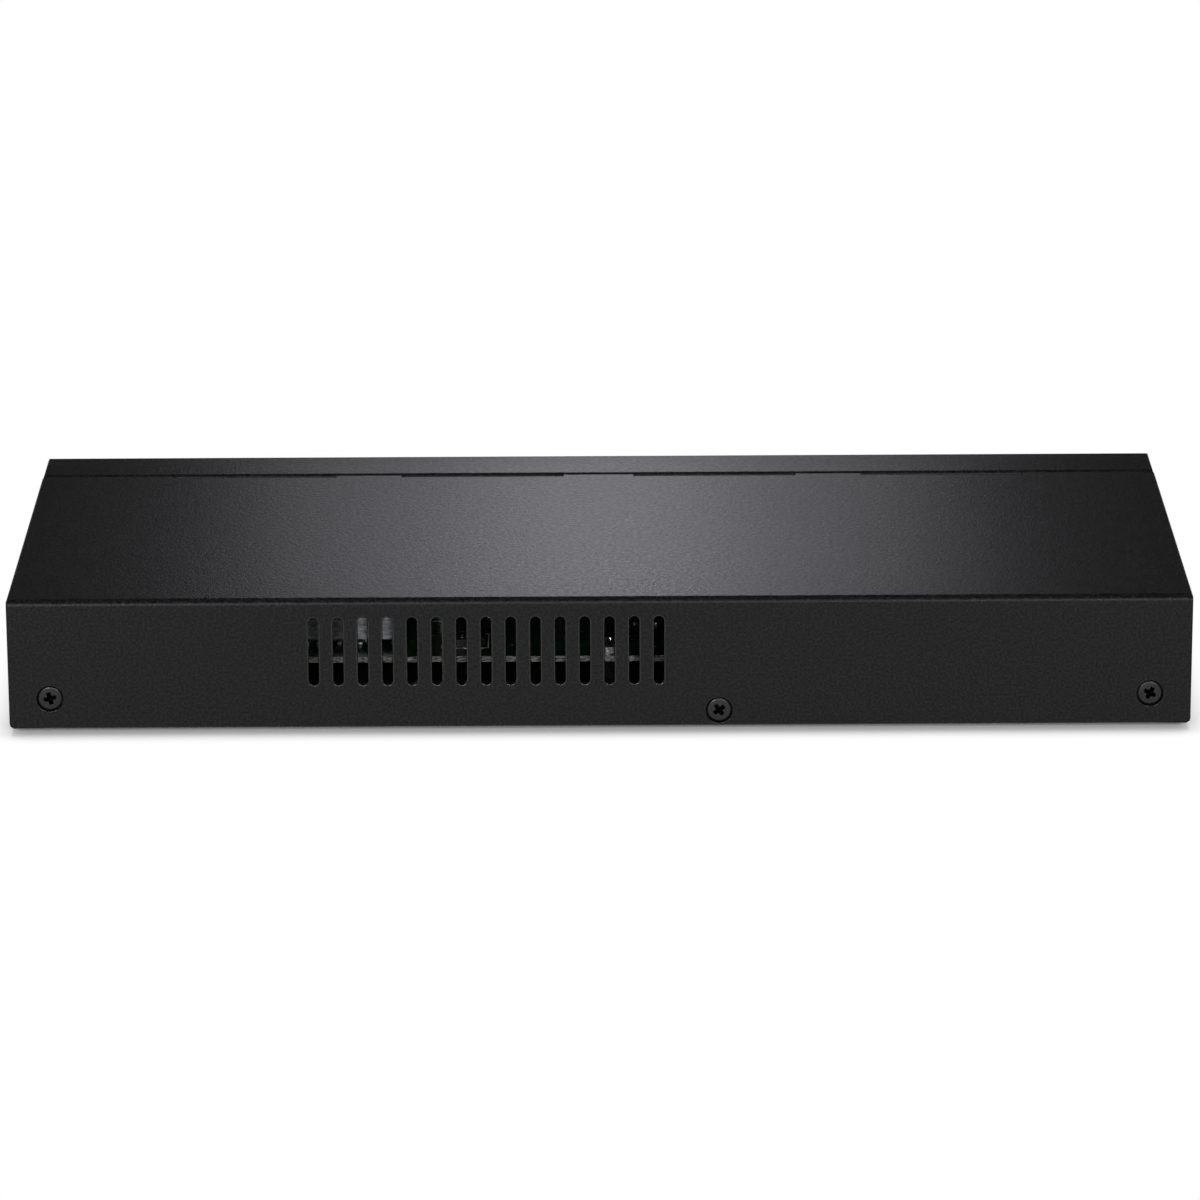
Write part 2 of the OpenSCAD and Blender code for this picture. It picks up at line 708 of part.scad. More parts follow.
// a moulded package: a box whose upper edges are chamfered
module package(x, y, w, d, h, chamfer = 0.3) {
    c = chamfer * sqrt(2);
    translate([x, y, deck_z]) difference() {
        span([-w / 2, -d / 2, 0], [w / 2, d / 2, h]);
        for (s = [-1, 1]) {
            translate([s * w / 2, 0, h]) rotate([0, 45, 0]) cube([c, d + 2 * cut, c], center = true);
            translate([0, s * d / 2, h]) rotate([45, 0, 0]) cube([w + 2 * cut, c, c], center = true);
        }
    }
}

// transformers stand behind the ports, one for each
module line_transformer(n) {
    b = n > ports_per_block ? 1 : 0;
    i = n - 1 - b * ports_per_block;
    color([0.1, 0.1, 0.1])
        package(block_x[b] + port_x(i), transformer_y, transformer_w, transformer_d, transformer_h, 0.5);
}

module switch_chip() {
    color([0.15, 0.15, 0.15]) package(chip_x, sink_y, chip_w, chip_w, chip_h, 0.2);
}

module thermal_tape() {
    color("lightblue") translate([chip_x, sink_y, deck_z + chip_h])
        span([-chip_w / 2 + 1, -chip_w / 2 + 1, 0], [chip_w / 2 - 1, chip_w / 2 - 1, tape_t]);
}

module heat_sink() {
    pitch = (sink_d - fin_t) / (fin_count - 1);
    color("lightgray") translate([chip_x, sink_y, deck_z + chip_h + tape_t]) {
        span([-sink_w / 2, -sink_d / 2, 0], [sink_w / 2, sink_d / 2, sink_base]);
        for (i = [0 : fin_count - 1])
            span([-sink_w / 2, -sink_d / 2 + i * pitch, sink_base - snug],
                [sink_w / 2, -sink_d / 2 + i * pitch + fin_t, sink_h]);
    }
}

module inlet_housing() {
    slot_half = 1.3;
    color([0.1, 0.1, 0.1]) difference() {
        deep(face_y, face_y + inlet_d)
            soft_rect([inlet_x - inlet_w / 2, deck_z], [inlet_x + inlet_w / 2, deck_z + inlet_h], 1.2,
                [0, 0, 1, 1]);
        bar_y(inlet_x, inlet_z, face_y - cut, face_y + barrel_d, barrel_r);
        // channel of the leaf spring, below the barrel
        span([inlet_x - slot_half, face_y + 1.5, inlet_z - barrel_r - 0.8],
            [inlet_x + slot_half, face_y + barrel_d, inlet_z]);
        // hole of the centre pin's root through the back wall
        bar_y(inlet_x, inlet_z, face_y + barrel_d - cut, face_y + inlet_d + cut, pin_root_r + snug);
    }
}

// centre pin: a chamfered tip, the free length in the barrel and a thicker root in the back wall
module inlet_pin() {
    free = barrel_d - pin_in;
    whole = inlet_d + 0.6 - pin_in;
    color("silver") translate([inlet_x, face_y + pin_in, inlet_z]) rotate([-90, 0, 0]) rotate_extrude()
        polygon([[0, 0], [pin_r - 0.3, 0], [pin_r, 0.3], [pin_r, free], [pin_root_r, free],
            [pin_root_r, whole], [0, whole]]);
}

// a leaf that lies in the channel, bows up towards the barrel and turns down to the board behind
module inlet_spring() {
    t = 0.3;
    z = inlet_z - barrel_r - 0.8 + snug;
    color("silver") across(inlet_x - 1.1, inlet_x + 1.1)
        polygon([[face_y + 1.7, z], [face_y + 5.2, z + 0.75], [face_y + barrel_d - 0.1, z],
            [face_y + barrel_d - 0.1, z + t], [face_y + 5.2, z + 0.75 + t], [face_y + 1.7, z + t]]);
}

module capacitor_can(n) {
    c = capacitors[n];
    color([0.1, 0.1, 0.1]) translate([c[0], c[1], deck_z + cap_foot_h]) rotate_extrude()
        polygon([[0, 0], [c[2] - 0.2, 0], [c[2], 0.4], [c[2], 1.2], [c[2] - 0.3, 1.6], [c[2], 2],
            [c[2], c[3] - cap_foot_h - 0.4], [c[2] - 0.4, c[3] - cap_foot_h], [0, c[3] - cap_foot_h]]);
}

module capacitor_foot(n) {
    c = capacitors[n];
    w = c[2] + 0.2;
    color([0.1, 0.1, 0.1]) translate([c[0], c[1], deck_z]) linear_extrude(cap_foot_h)
        polygon([[-w, -w], [w, -w], [w, w - 1.6], [w - 1.6, w], [1.6 - w, w], [-w, w - 1.6]]);
}

module power_inductor(n) {
    color([0.25, 0.25, 0.25]) translate([inductors[n][0], inductors[n][1], deck_z]) difference() {
        intersection() {
            span([-inductor_w / 2, -inductor_w / 2, 0], [inductor_w / 2, inductor_w / 2, inductor_h]);
            cylinder(r = inductor_w * 0.64, h = inductor_h);
        }
        // ring gap round the wound core
        translate([0, 0, inductor_h - 0.8]) difference() {
            cylinder(r = inductor_w * 0.42, h = cut + 0.8);
            translate([0, 0, -cut]) cylinder(r = inductor_w * 0.34, h = 3 * cut + 0.8);
        }
    }
}

module regulator_chip(n) {
    color([0.12, 0.12, 0.12]) package(regulators[n][0], regulators[n][1], 5, 4, 1.6, 0.3);
}

module crystal() {
    color("silver") translate([chip_x - 23.5, sink_y - 9, deck_z]) {
        linear_extrude(0.5) translate([0, -5.9]) stadium(5, 11.8);
        translate([0, 0, 0.4]) linear_extrude(3.2) translate([0, -5.2]) stadium(4, 10.4);
    }
}

module memory_chip() {
    color([0.12, 0.12, 0.12]) package(chip_x - 33, sink_y - 9, 5.2, 5.2, 1.8, 0.3);
}

module input_fuse() {
    color("goldenrod") package(board_left + 22, board_y0 + 20.5, 4.6, 3.3, 1.2, 0.1);
}

module input_choke() {
    color([0.2, 0.2, 0.22]) package(board_left + 14.5, board_y0 + 20.5, 7, 6, 4.6, 0.4);
}

module surge_diode() {
    color([0.12, 0.12, 0.12]) package(board_left + 30, board_y0 + 20.5, 4.4, 3.6, 2.3, 0.3);
}

module reset_switch_body() {
    s = reset_size;
    color([0.1, 0.1, 0.1]) difference() {
        span([reset_x - s[0] / 2 + frame_t + snug, reset_y0, deck_z],
            [reset_x + s[0] / 2 - frame_t - snug, reset_y0 + s[1] - frame_t - snug, deck_z + s[2]]);
        bar_y(reset_x, panel_z, reset_y0 - cut, reset_y0 + plunger_in + plunger_travel + 0.1,
            plunger_r + plunger_play);
    }
}

// a bent steel clip that holds the switch's body on three sides
module reset_switch_frame() {
    s = reset_size;
    color("silver") difference() {
        span([reset_x - s[0] / 2, reset_y0 + 0.4, deck_z],
            [reset_x + s[0] / 2, reset_y0 + s[1], deck_z + s[2] - 1]);
        span([reset_x - s[0] / 2 + frame_t, reset_y0 - cut, deck_z - cut],
            [reset_x + s[0] / 2 - frame_t, reset_y0 + s[1] - frame_t, deck_z + s[2] + cut]);
    }
}

module reset_plunger() {
    color("white") difference() {
        bar_y(reset_x, panel_z, plunger_tip_y, reset_y0 + plunger_in, plunger_r);
        bar_y(reset_x, panel_z, plunger_tip_y - cut, plunger_tip_y + 0.3, 0.6);
    }
}

module power_lamp_holder() {
    y0 = lamp_flange_y + 1.2;
    color([0.1, 0.1, 0.1]) difference() {
        span([lamp_x - 2.4, y0, deck_z], [lamp_x + 2.4, y0 + 6, panel_z + 2.4]);
        bar_y(lamp_x, panel_z, y0 - cut, y0 + 4.5, lamp_r + snug);
    }
}

// a 3 mm lamp: round nose in the panel's hole, flange, and body in the holder
module power_lamp() {
    y0 = front_y + 0.2;
    nose = lamp_flange_y - y0;
    flange_r = lamp_r + 0.35;
    color("palegreen") translate([lamp_x, y0, panel_z]) rotate([-90, 0, 0]) rotate_extrude()
        polygon([[0, 0], [lamp_r * 0.7, 0.15], [lamp_r, 0.8], [lamp_r, nose], [flange_r, nose],
            [flange_r, nose + 1], [lamp_r, nose + 1], [lamp_r, nose + 5], [0, nose + 5]]);
}

// one square pin of the test header, grown by the play of its hole
module header_pin(low, high, play) {
    h = header_pin_w / 2 + play;
    span([-h, -h, low], [h, h, high]);
}

module test_header() {
    color([0.1, 0.1, 0.1]) translate([header_x, header_y, deck_z]) difference() {
        span([-2 * header_pitch, -header_pitch / 2, 0], [2 * header_pitch, header_pitch / 2, header_pitch]);
        for (i = [-1.5 : 1.5]) translate([i * header_pitch, 0, 0]) header_pin(-cut, header_pitch + cut, snug);
    }
}

module test_header_pins() {
    color("gold") for (i = [-1.5 : 1.5]) translate([header_x + i * header_pitch, header_y, deck_z])
        header_pin(0, header_pin_h, 0);
}

base_tray();
top_cover();
cover_screws();
insulating_film();
rating_label();
foot(-1, -1);  // foot_front_left
foot(1, -1);  // foot_front_right
foot(-1, 1);  // foot_back_left
foot(1, 1);  // foot_back_right
board_standoffs();
board_screws();
main_board();
port_shield(0);  // port_shield_left
port_shield(1);  // port_shield_right
port_housing(0);  // port_housing_left
port_housing(1);  // port_housing_right
port_contacts(0);  // port_contacts_left
port_contacts(1);  // port_contacts_right
port_lights(0);  // port_lights_left
port_lights(1);  // port_lights_right
line_transformer(1);  // line_transformer_1
line_transformer(2);  // line_transformer_2
line_transformer(3);  // line_transformer_3
line_transformer(4);  // line_transformer_4
line_transformer(5);  // line_transformer_5
line_transformer(6);  // line_transformer_6
line_transformer(7);  // line_transformer_7
line_transformer(8);  // line_transformer_8
switch_chip();
thermal_tape();
heat_sink();
inlet_housing();
inlet_pin();
inlet_spring();
capacitor_can(0);  // capacitor_can_1
capacitor_can(1);  // capacitor_can_2
capacitor_can(2);  // capacitor_can_3
capacitor_foot(0);  // capacitor_foot_1
capacitor_foot(1);  // capacitor_foot_2
capacitor_foot(2);  // capacitor_foot_3
power_inductor(0);  // power_inductor_1
power_inductor(1);  // power_inductor_2
regulator_chip(0);  // regulator_chip_1
regulator_chip(1);  // regulator_chip_2
crystal();
memory_chip();
input_fuse();
input_choke();
surge_diode();
reset_switch_body();
reset_switch_frame();
reset_plunger();
power_lamp_holder();
power_lamp();
test_header();
test_header_pins();
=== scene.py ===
import math
import bmesh
import bpy
import numpy as np
from mathutils import Matrix, Vector


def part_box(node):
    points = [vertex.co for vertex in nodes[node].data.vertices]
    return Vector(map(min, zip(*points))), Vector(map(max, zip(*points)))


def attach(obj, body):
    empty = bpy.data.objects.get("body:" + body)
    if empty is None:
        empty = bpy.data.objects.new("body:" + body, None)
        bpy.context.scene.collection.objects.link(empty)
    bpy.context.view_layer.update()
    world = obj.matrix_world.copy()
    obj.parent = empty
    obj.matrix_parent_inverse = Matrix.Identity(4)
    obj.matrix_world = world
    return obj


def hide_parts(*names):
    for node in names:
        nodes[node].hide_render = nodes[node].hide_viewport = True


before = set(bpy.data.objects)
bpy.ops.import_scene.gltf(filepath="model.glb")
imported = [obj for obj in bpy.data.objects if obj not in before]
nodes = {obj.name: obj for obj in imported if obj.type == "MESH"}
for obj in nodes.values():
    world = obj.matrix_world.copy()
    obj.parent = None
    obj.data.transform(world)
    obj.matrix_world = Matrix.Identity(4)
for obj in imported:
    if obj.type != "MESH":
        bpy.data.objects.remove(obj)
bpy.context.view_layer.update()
mm = 0.001
print("frame loaded:", len(nodes), "CAD nodes")


def boxOf(node):
    # a CAD node's lowest and highest corners at rest, in millimetres
    return np.array(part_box(node)) / mm


def sizeOf(node):
    # a CAD node's width, depth and height
    low, high = boxOf(node)
    return high - low


def middleOf(node):
    # middle of a CAD node's underside
    low, high = boxOf(node)
    return np.array([(low[0] + high[0]) / 2, (low[1] + high[1]) / 2, low[2]])


def linear(hexText):
    # sRGB hex to linear RGBA: each channel through the sRGB curve's inverse
    parts = [int(hexText[i:i + 2], 16) / 255 for i in (1, 3, 5)]
    return [p / 12.92 if p <= 0.04045 else ((p + 0.055) / 1.055) ** 2.4 for p in parts] + [1.0]


def feed(tree, node, inputs):
    # fills a node's sockets: a number stays there, an output is linked, and a node stands for its first output
    for socket, value in inputs.items():
        if isinstance(value, bpy.types.Node):
            value = value.outputs[0]
        if isinstance(value, bpy.types.NodeSocket):
            tree.links.new(value, node.inputs[socket])
        else:
            node.inputs[socket].default_value = value


def addNode(tree, kind, inputs=None, stops=(), **settings):
    # one node of any kind: settings are its own properties, stops are a ramp's two places with their sRGB hex
    node = tree.nodes.new("ShaderNode" + kind)
    for key, value in settings.items():
        setattr(node, key, value)
    for n, (position, colour) in enumerate(stops):
        stop = node.color_ramp.elements[n]
        stop.position, stop.color = position, linear(colour)
    feed(tree, node, inputs or {})
    return node


def startMaterial(name, colour, roughness, **more):
    # a Principled material with its plain numbers set on the shader's own sockets
    sockets = dict(metallic="Metallic", specular="Specular IOR Level", subsurface="Subsurface Weight",
                   subsurfaceScale="Subsurface Scale")
    material = bpy.data.materials.new(name)
    material.use_nodes = True
    tree = material.node_tree
    shader = tree.nodes["Principled BSDF"]
    feed(tree, shader, {"Base Color": linear(colour), "Roughness": roughness})
    feed(tree, shader, {sockets[key]: value for key, value in more.items()})
    material.diffuse_color = linear(colour)
    return material, tree, shader, addNode(tree, "TexCoord").outputs["Object"]


def perMetre(millimetres):
    # texture scale that gives one cell for each so many millimetres
    return 1000 / millimetres


evenly = {"From Min": 0.3, "From Max": 0.7}  # the part of a noise's range that most of it lies in


# the case's finishes

def powderCoat(name, roughness, specular):
    # epoxy-polyester powder coat on sheet steel: near-black satin skin whose fine grain breaks up the highlights
    look = dict(colour="#060607", pale="#161616", grain=0.5, lump=0.9, lumpShare=0.2, sway=0.05, relief=0.075)
    material, tree, shader, place = startMaterial(name, look["colour"], roughness, specular=specular)
    grain = addNode(tree, "TexNoise", {"Vector": place, "Scale": perMetre(look["grain"]), "Detail": 1})
    lump = addNode(tree, "TexNoise", {"Vector": place, "Scale": perMetre(look["lump"])})
    skin = {"Value": lump, "To Min": roughness - look["sway"], "To Max": roughness + look["sway"]}
    height = addNode(tree, "Mix", {"Factor": look["lumpShare"], "A": grain, "B": lump})
    feed(tree, shader, {
        "Base Color": addNode(tree, "ValToRGB", {"Fac": grain}, [(0.38, look["colour"]), (0.66, look["pale"])]),
        "Roughness": addNode(tree, "MapRange", skin | evenly),
        "Normal": addNode(tree, "Bump", {"Height": height, "Distance": look["relief"] * mm})})
    return material


def footRubber():
    # moulded rubber with a spark-eroded skin: dead black and soft, greyed by floor dust
    look = dict(colour="#1c1c1c", pale="#2b2b2a", roughness=0.82, specular=0.3, grain=0.22, dust=4.0, relief=0.02)
    material, tree, shader, place = startMaterial("mouldedRubber", look["colour"], look["roughness"],
                                                  specular=look["specular"])
    dust = addNode(tree, "TexNoise", {"Vector": place, "Scale": perMetre(look["dust"]), "Detail": 3})
    fine = addNode(tree, "TexNoise", {"Vector": place, "Scale": perMetre(look["grain"])})
    feed(tree, shader, {
        "Base Color": addNode(tree, "ValToRGB", {"Fac": dust}, [(0.35, look["colour"]), (0.8, look["pale"])]),
        "Normal": addNode(tree, "Bump", {"Height": fine, "Distance": look["relief"] * mm})})
    return material


def mouldedPlastic(name, colour, pale, roughness, specular, grain, relief, patch=3.0):
    # injection-moulded plastic: an even dye with faint flow patches, and the tool's fine grain in the gloss
    material, tree, shader, place = startMaterial(name, colour, roughness, specular=specular)
    flow = addNode(tree, "TexNoise", {"Vector": place, "Scale": perMetre(patch), "Detail": 3})
    fine = addNode(tree, "TexNoise", {"Vector": place, "Scale": perMetre(grain)})
    skin = {"Value": fine, "To Min": roughness - 0.05, "To Max": roughness + 0.05}
    feed(tree, shader, {
        "Base Color": addNode(tree, "ValToRGB", {"Fac": flow}, [(0.3, colour), (0.75, pale)]),
        "Roughness": addNode(tree, "MapRange", skin | evenly),
        "Normal": addNode(tree, "Bump", {"Height": fine, "Distance": relief * mm})})
    return material


def platedMetal(name, colour, dark, roughness, grain, relief, stretch=None, haze=2.5):
    # plated or rolled metal: fine surface lines or crystal grain, and hazier patches where it was handled
    material, tree, shader, place = startMaterial(name, colour, roughness, metallic=1.0)
    along = addNode(tree, "Mapping", {"Vector": place, "Scale": stretch}) if stretch else place
    fine = addNode(tree, "TexNoise", {"Vector": along, "Scale": perMetre(grain), "Detail": 3, "Roughness": 0.6})
    dull = addNode(tree, "TexNoise", {"Vector": place, "Scale": perMetre(haze), "Detail": 3})
    skin = {"Value": dull, "To Min": roughness - 0.06, "To Max": roughness + 0.1}
    feed(tree, shader, {
        "Base Color": addNode(tree, "ValToRGB", {"Fac": fine}, [(0.3, dark), (0.65, colour)]),
        "Roughness": addNode(tree, "MapRange", skin | evenly),
        "Normal": addNode(tree, "Bump", {"Height": fine, "Distance": relief * mm})})
    return material


def shadeRecess(material):
    # painted shade in a driven screw's cross: the metal goes near black where the mesh's recess mark is 1, standing in
    # for the shade down in the recess
    tree, shader = material.node_tree, material.node_tree.nodes["Principled BSDF"]
    depth = addNode(tree, "Attribute", attribute_name="recess").outputs["Fac"]
    metal = shader.inputs["Base Color"].links[0].from_socket
    # painted shade: near-black mixed over the metal by the recess mark
    both = addNode(tree, "Mix", {"Factor": depth, "A": metal, "B": linear("#050505")}, data_type="RGBA")
    feed(tree, shader, {"Base Color": both.outputs[2]})
    return material


def solderMaskBoard():
    # glass-epoxy laminate under green solder mask: glossy green over paler copper tracks and ground areas, tinned
    # vias as small dots, and sawn grey edges where the glass layers show
    look = dict(mask="#081b11", copper="#0f2d1c", via="#8c8771", edge="#a9a9a3", edgeDark="#20201f",
                area=(11.0, 6.5, 100.0), pitch=0.75, trackFrom=0.62, groundFrom=0.72, viaGap=3.0, viaReach=0.09,
                fibre=0.5, fibreStretch=(0.35, 1, 1.6), roughness=0.27, edgeRoughness=0.8, specular=0.5, relief=0.03)
    material, tree, shader, place = startMaterial("solderMaskOnLaminate", look["mask"], look["roughness"],
                                                  specular=look["specular"])
    # each area of the board draws at random which way its tracks run and whether it is plain ground
    block = addNode(tree, "VectorMath", {0: place, 1: [side * mm for side in look["area"]]}, operation="SNAP")
    area = addNode(tree, "TexWhiteNoise", {"Vector": block}).outputs["Color"]
    draw = addNode(tree, "SeparateColor", {0: area}).outputs
    axes = addNode(tree, "SeparateXYZ", {0: place}).outputs
    turn = addNode(tree, "Math", {0: draw[0], 1: 0.5}, operation="GREATER_THAN")
    across = addNode(tree, "Mix", {"Factor": turn, "A": axes["X"], "B": axes["Y"]})
    steps = addNode(tree, "Math", {0: across, 1: perMetre(look["pitch"])}, operation="MULTIPLY")
    wave = addNode(tree, "Math", {0: steps}, operation="FRACT")
    track = addNode(tree, "Math", {0: wave, 1: look["trackFrom"]}, operation="GREATER_THAN")
    ground = addNode(tree, "Math", {0: draw[1], 1: look["groundFrom"]}, operation="GREATER_THAN")
    copper = addNode(tree, "Math", {0: track, 1: ground}, operation="MAXIMUM")
    dots = addNode(tree, "TexVoronoi", {"Vector": place, "Scale": perMetre(look["viaGap"])})
    via = addNode(tree, "Math", {0: dots, 1: look["viaReach"]}, operation="LESS_THAN")
    green = addNode(tree, "ValToRGB", {"Fac": copper}, [(0.0, look["mask"]), (1.0, look["copper"])])
    face = addNode(tree, "Mix", {"Factor": via, "A": green, "B": linear(look["via"])}, data_type="RGBA").outputs[2]
    upright = addNode(tree, "SeparateXYZ", {0: addNode(tree, "NewGeometry").outputs["Normal"]})
    steep = addNode(tree, "Math", {0: upright.outputs["Z"]}, operation="ABSOLUTE")
    side = addNode(tree, "Math", {0: steep, 1: 0.5}, operation="LESS_THAN")
    weave = addNode(tree, "Mapping", {"Vector": place, "Scale": look["fibreStretch"]})
    glass = addNode(tree, "TexNoise", {"Vector": weave, "Scale": perMetre(look["fibre"]), "Detail": 3,
                                       "Roughness": 0.6})
    sawn = addNode(tree, "ValToRGB", {"Fac": glass}, [(0.4, look["edgeDark"]), (0.6, look["edge"])])
    relief = addNode(tree, "Mix", {"Factor": side, "A": copper, "B": glass})
    feed(tree, shader, {
        "Base Color": addNode(tree, "Mix", {"Factor": side, "A": face, "B": sawn}, data_type="RGBA").outputs[2],
        "Roughness": addNode(tree, "MapRange", {"Value": side, "To Min": look["roughness"],
                                                "To Max": look["edgeRoughness"]}),
        "Normal": addNode(tree, "Bump", {"Height": relief, "Distance": look["relief"] * mm})})
    return material


def printedLabel():
    # satin paper-film sticker: pale grey with a thin border and empty ruled boxes, nothing written in them
    look = dict(paper="#d4d6d7", shade="#cfd1d2", rule="#6c6f72", line=0.3, border=1.6, rows=6.6, roughness=0.42,
                specular=0.4, fibre=0.5, relief=0.006)
    material, tree, shader, place = startMaterial("satinSticker", look["paper"], look["roughness"],
                                                  specular=look["specular"])
    low, high = boxOf("rating_label")
    spot = addNode(tree, "VectorMath", {0: place, 1: tuple((low + high) / 2 * mm)}, operation="SUBTRACT")
    axes = addNode(tree, "SeparateXYZ", {0: spot}).outputs
    inside = {}
    for n, reach in enumerate((high - low)[:2] / 2 - look["border"]):
        far = addNode(tree, "Math", {0: axes[n]}, operation="ABSOLUTE")
        inside[n] = addNode(tree, "Math", {0: reach * mm, 1: far}, operation="SUBTRACT")
    gap = addNode(tree, "Math", inside, operation="MINIMUM")
    rim = addNode(tree, "Math", {0: gap, 1: 0.0, 2: look["line"] / 2 * mm}, operation="COMPARE")
    up = addNode(tree, "Math", {0: axes["Y"], 1: perMetre(look["rows"])}, operation="MULTIPLY")
    across = addNode(tree, "Math", {0: up}, operation="FRACT")
    rows = addNode(tree, "Math", {0: across, 1: 1 - look["line"] / look["rows"]}, operation="GREATER_THAN")
    within = addNode(tree, "Math", {0: gap, 1: 0.0}, operation="GREATER_THAN")
    ruled = addNode(tree, "Math", {0: rows, 1: within}, operation="MULTIPLY")
    ink = addNode(tree, "Math", {0: rim, 1: ruled}, operation="MAXIMUM")
    fibres = addNode(tree, "TexNoise", {"Vector": place, "Scale": perMetre(look["fibre"]), "Detail": 3})
    paper = addNode(tree, "ValToRGB", {"Fac": fibres}, [(0.3, look["shade"]), (0.7, look["paper"])])
    shown = addNode(tree, "Mix", {"Factor": ink, "A": paper, "B": linear(look["rule"])}, data_type="RGBA")
    relief = addNode(tree, "Bump", {"Height": fibres, "Distance": look["relief"] * mm})
    feed(tree, shader, {"Base Color": shown.outputs[2], "Normal": relief})
    return material


canNodes = [f"capacitor_can_{n}" for n in (1, 2, 3)]


def canSleeve():
    # shrunk black vinyl sleeve: glossy and slightly rippled, with a pale stripe down the side that marks the minus lead
    look = dict(colour="#0d0e10", stripe="#b9bcc0", facing=-2.2, half=0.42, reach=0.55, roughness=0.13, specular=0.45,
                ripple=0.9, rippleStretch=(1, 1, 3), relief=0.02)
    material, tree, shader, place = startMaterial("shrunkVinylSleeve", look["colour"], look["roughness"],
                                                  specular=look["specular"])
    mark = None
    for node in canNodes:
        low, high = boxOf(node)
        spot = addNode(tree, "VectorMath", {0: place, 1: tuple((low + high) / 2 * mm)}, operation="SUBTRACT")
        axes = addNode(tree, "SeparateXYZ", {0: spot}).outputs
        angle = addNode(tree, "Math", {0: axes["Y"], 1: axes["X"]}, operation="ARCTAN2")
        band = addNode(tree, "Math", {0: angle, 1: look["facing"], 2: look["half"]}, operation="COMPARE")
        flat = addNode(tree, "CombineXYZ", {"X": axes["X"], "Y": axes["Y"]})
        away = addNode(tree, "VectorMath", {0: flat}, operation="LENGTH").outputs["Value"]
        near = addNode(tree, "Math", {0: away, 1: (high[0] - low[0]) * look["reach"] * mm}, operation="LESS_THAN")
        one = addNode(tree, "Math", {0: band, 1: near}, operation="MULTIPLY")
        mark = addNode(tree, "Math", {0: mark, 1: one}, operation="MAXIMUM") if mark else one
    waves = addNode(tree, "Mapping", {"Vector": place, "Scale": look["rippleStretch"]})
    ripple = addNode(tree, "TexNoise", {"Vector": waves, "Scale": perMetre(look["ripple"])})
    feed(tree, shader, {
        "Base Color": addNode(tree, "ValToRGB", {"Fac": mark}, [(0.0, look["colour"]), (1.0, look["stripe"])]),
        "Normal": addNode(tree, "Bump", {"Height": ripple, "Distance": look["relief"] * mm})})
    return material


def clearGuide(name, colour, deep, roughness, glow):
    # clear moulded light guide: light sinks in and comes back tinted, with a smooth face
    look = dict(specular=0.5, sink=0.25, cloud=1.2)
    material, tree, shader, place = startMaterial(name, colour, roughness, specular=look["specular"],
                                                  subsurface=look["sink"], subsurfaceScale=glow * mm)
    cloud = addNode(tree, "TexNoise", {"Vector": place, "Scale": perMetre(look["cloud"])})
    feed(tree, shader, {"Base Color": addNode(tree, "ValToRGB", {"Fac": cloud}, [(0.3, deep), (0.7, colour)])})
    return material


powderPaint, rubber = powderCoat("blackPowderCoat", 0.40, 0.15), footRubber()
# the same coat where it draws thin and smooth over punched and sheared edges: a finer, brighter line of light
edgePaint = powderCoat("blackPowderCoatOnEdges", 0.26, 0.4)
label, mask, sleeve = printedLabel(), solderMaskBoard(), canSleeve()
# black chromate over zinc, turned: dark metal with a thin satin film, with painted shade in the crosses
screwMetal = shadeRecess(platedMetal("blackZincSteelPaintedRecessShade", "#3a3a3a", "#262626", 0.34, 0.14, 0.004))
# bright zinc on pressed steel: cool grey with a fine crystal haze
zincSteel = platedMetal("brightZincSteel", "#c9c9c5", "#a9a9a6", 0.33, 0.25, 0.004)
# tinned steel strip: warm white metal with rolling lines along its length
tinnedSteel = platedMetal("tinnedSteelStrip", "#d2cfc9", "#b4b1aa", 0.27, 0.3, 0.003, (0.04, 1, 1))
# tin-plated copper leads and solder: soft bright silver
tinnedLead = platedMetal("tinPlatedCopper", "#dddbd5", "#b4b2ab", 0.42, 0.3, 0.004)
# hard gold over nickel: smooth yellow wire
contactGold = platedMetal("hardGoldPlating", "#e2bd6b", "#c79d4a", 0.22, 0.2, 0.002)
# nickel-plated can drawn from sheet: neutral and smoother than zinc
nickelCan = platedMetal("drawnNickelSilver", "#c4c2bd", "#a5a39e", 0.26, 0.35, 0.004, (1, 0.08, 1))
# extruded aluminium, etched and clear anodised: matt grey with die lines along the fins
sinkMetal = platedMetal("anodisedExtrusion", "#bfc1c4", "#6f7174", 0.46, 0.4, 0.012, (0.25, 1, 1), 5.0)
# can ends pressed from bare aluminium
canMetal = platedMetal("pressedAluminium", "#cdced0", "#b0b1b3", 0.36, 0.2, 0.004)
# black polyester film: flat and slightly shiny, seen only through the keyholes and round the board
filmPlastic = mouldedPlastic("blackPolyesterFilm", "#101011", "#18181a", 0.35, 0.5, 0.8, 0.01, 12.0)
# glass-filled nylon: charcoal black with short fibres dulling the skin
glassNylon = mouldedPlastic("glassFilledNylon", "#141415", "#222223", 0.48, 0.4, 0.18, 0.01)
# moulded epoxy packages: warm black with a matt, faintly sandy skin
epoxy = mouldedPlastic("mouldedEpoxy", "#19191a", "#272726", 0.56, 0.35, 0.12, 0.008)
# pressed ferrite under lacquer: dark grey and granular
ferrite = mouldedPlastic("pressedFerrite", "#2b2b2d", "#3c3b3b", 0.5, 0.4, 0.2, 0.02)
# resin body of the resettable fuse: amber ochre, semi-gloss
fuseResin = mouldedPlastic("amberResin", "#a5741e", "#bd8a30", 0.35, 0.5, 0.3, 0.01)
# natural nylon plunger: off-white and slightly waxy
plungerNylon = mouldedPlastic("naturalNylon", "#d9d5c7", "#e6e2d6", 0.4, 0.45, 0.3, 0.006)
# silicone-filled thermal tape: chalky blue-grey
tape = mouldedPlastic("thermalTape", "#8fa3ae", "#9fb1ba", 0.7, 0.3, 0.3, 0.02)
# barium titanate chip capacitors: fired grey-brown ceramic
ceramic = mouldedPlastic("firedCeramic", "#4d4a46", "#625e58", 0.45, 0.4, 0.25, 0.004, 1.2)
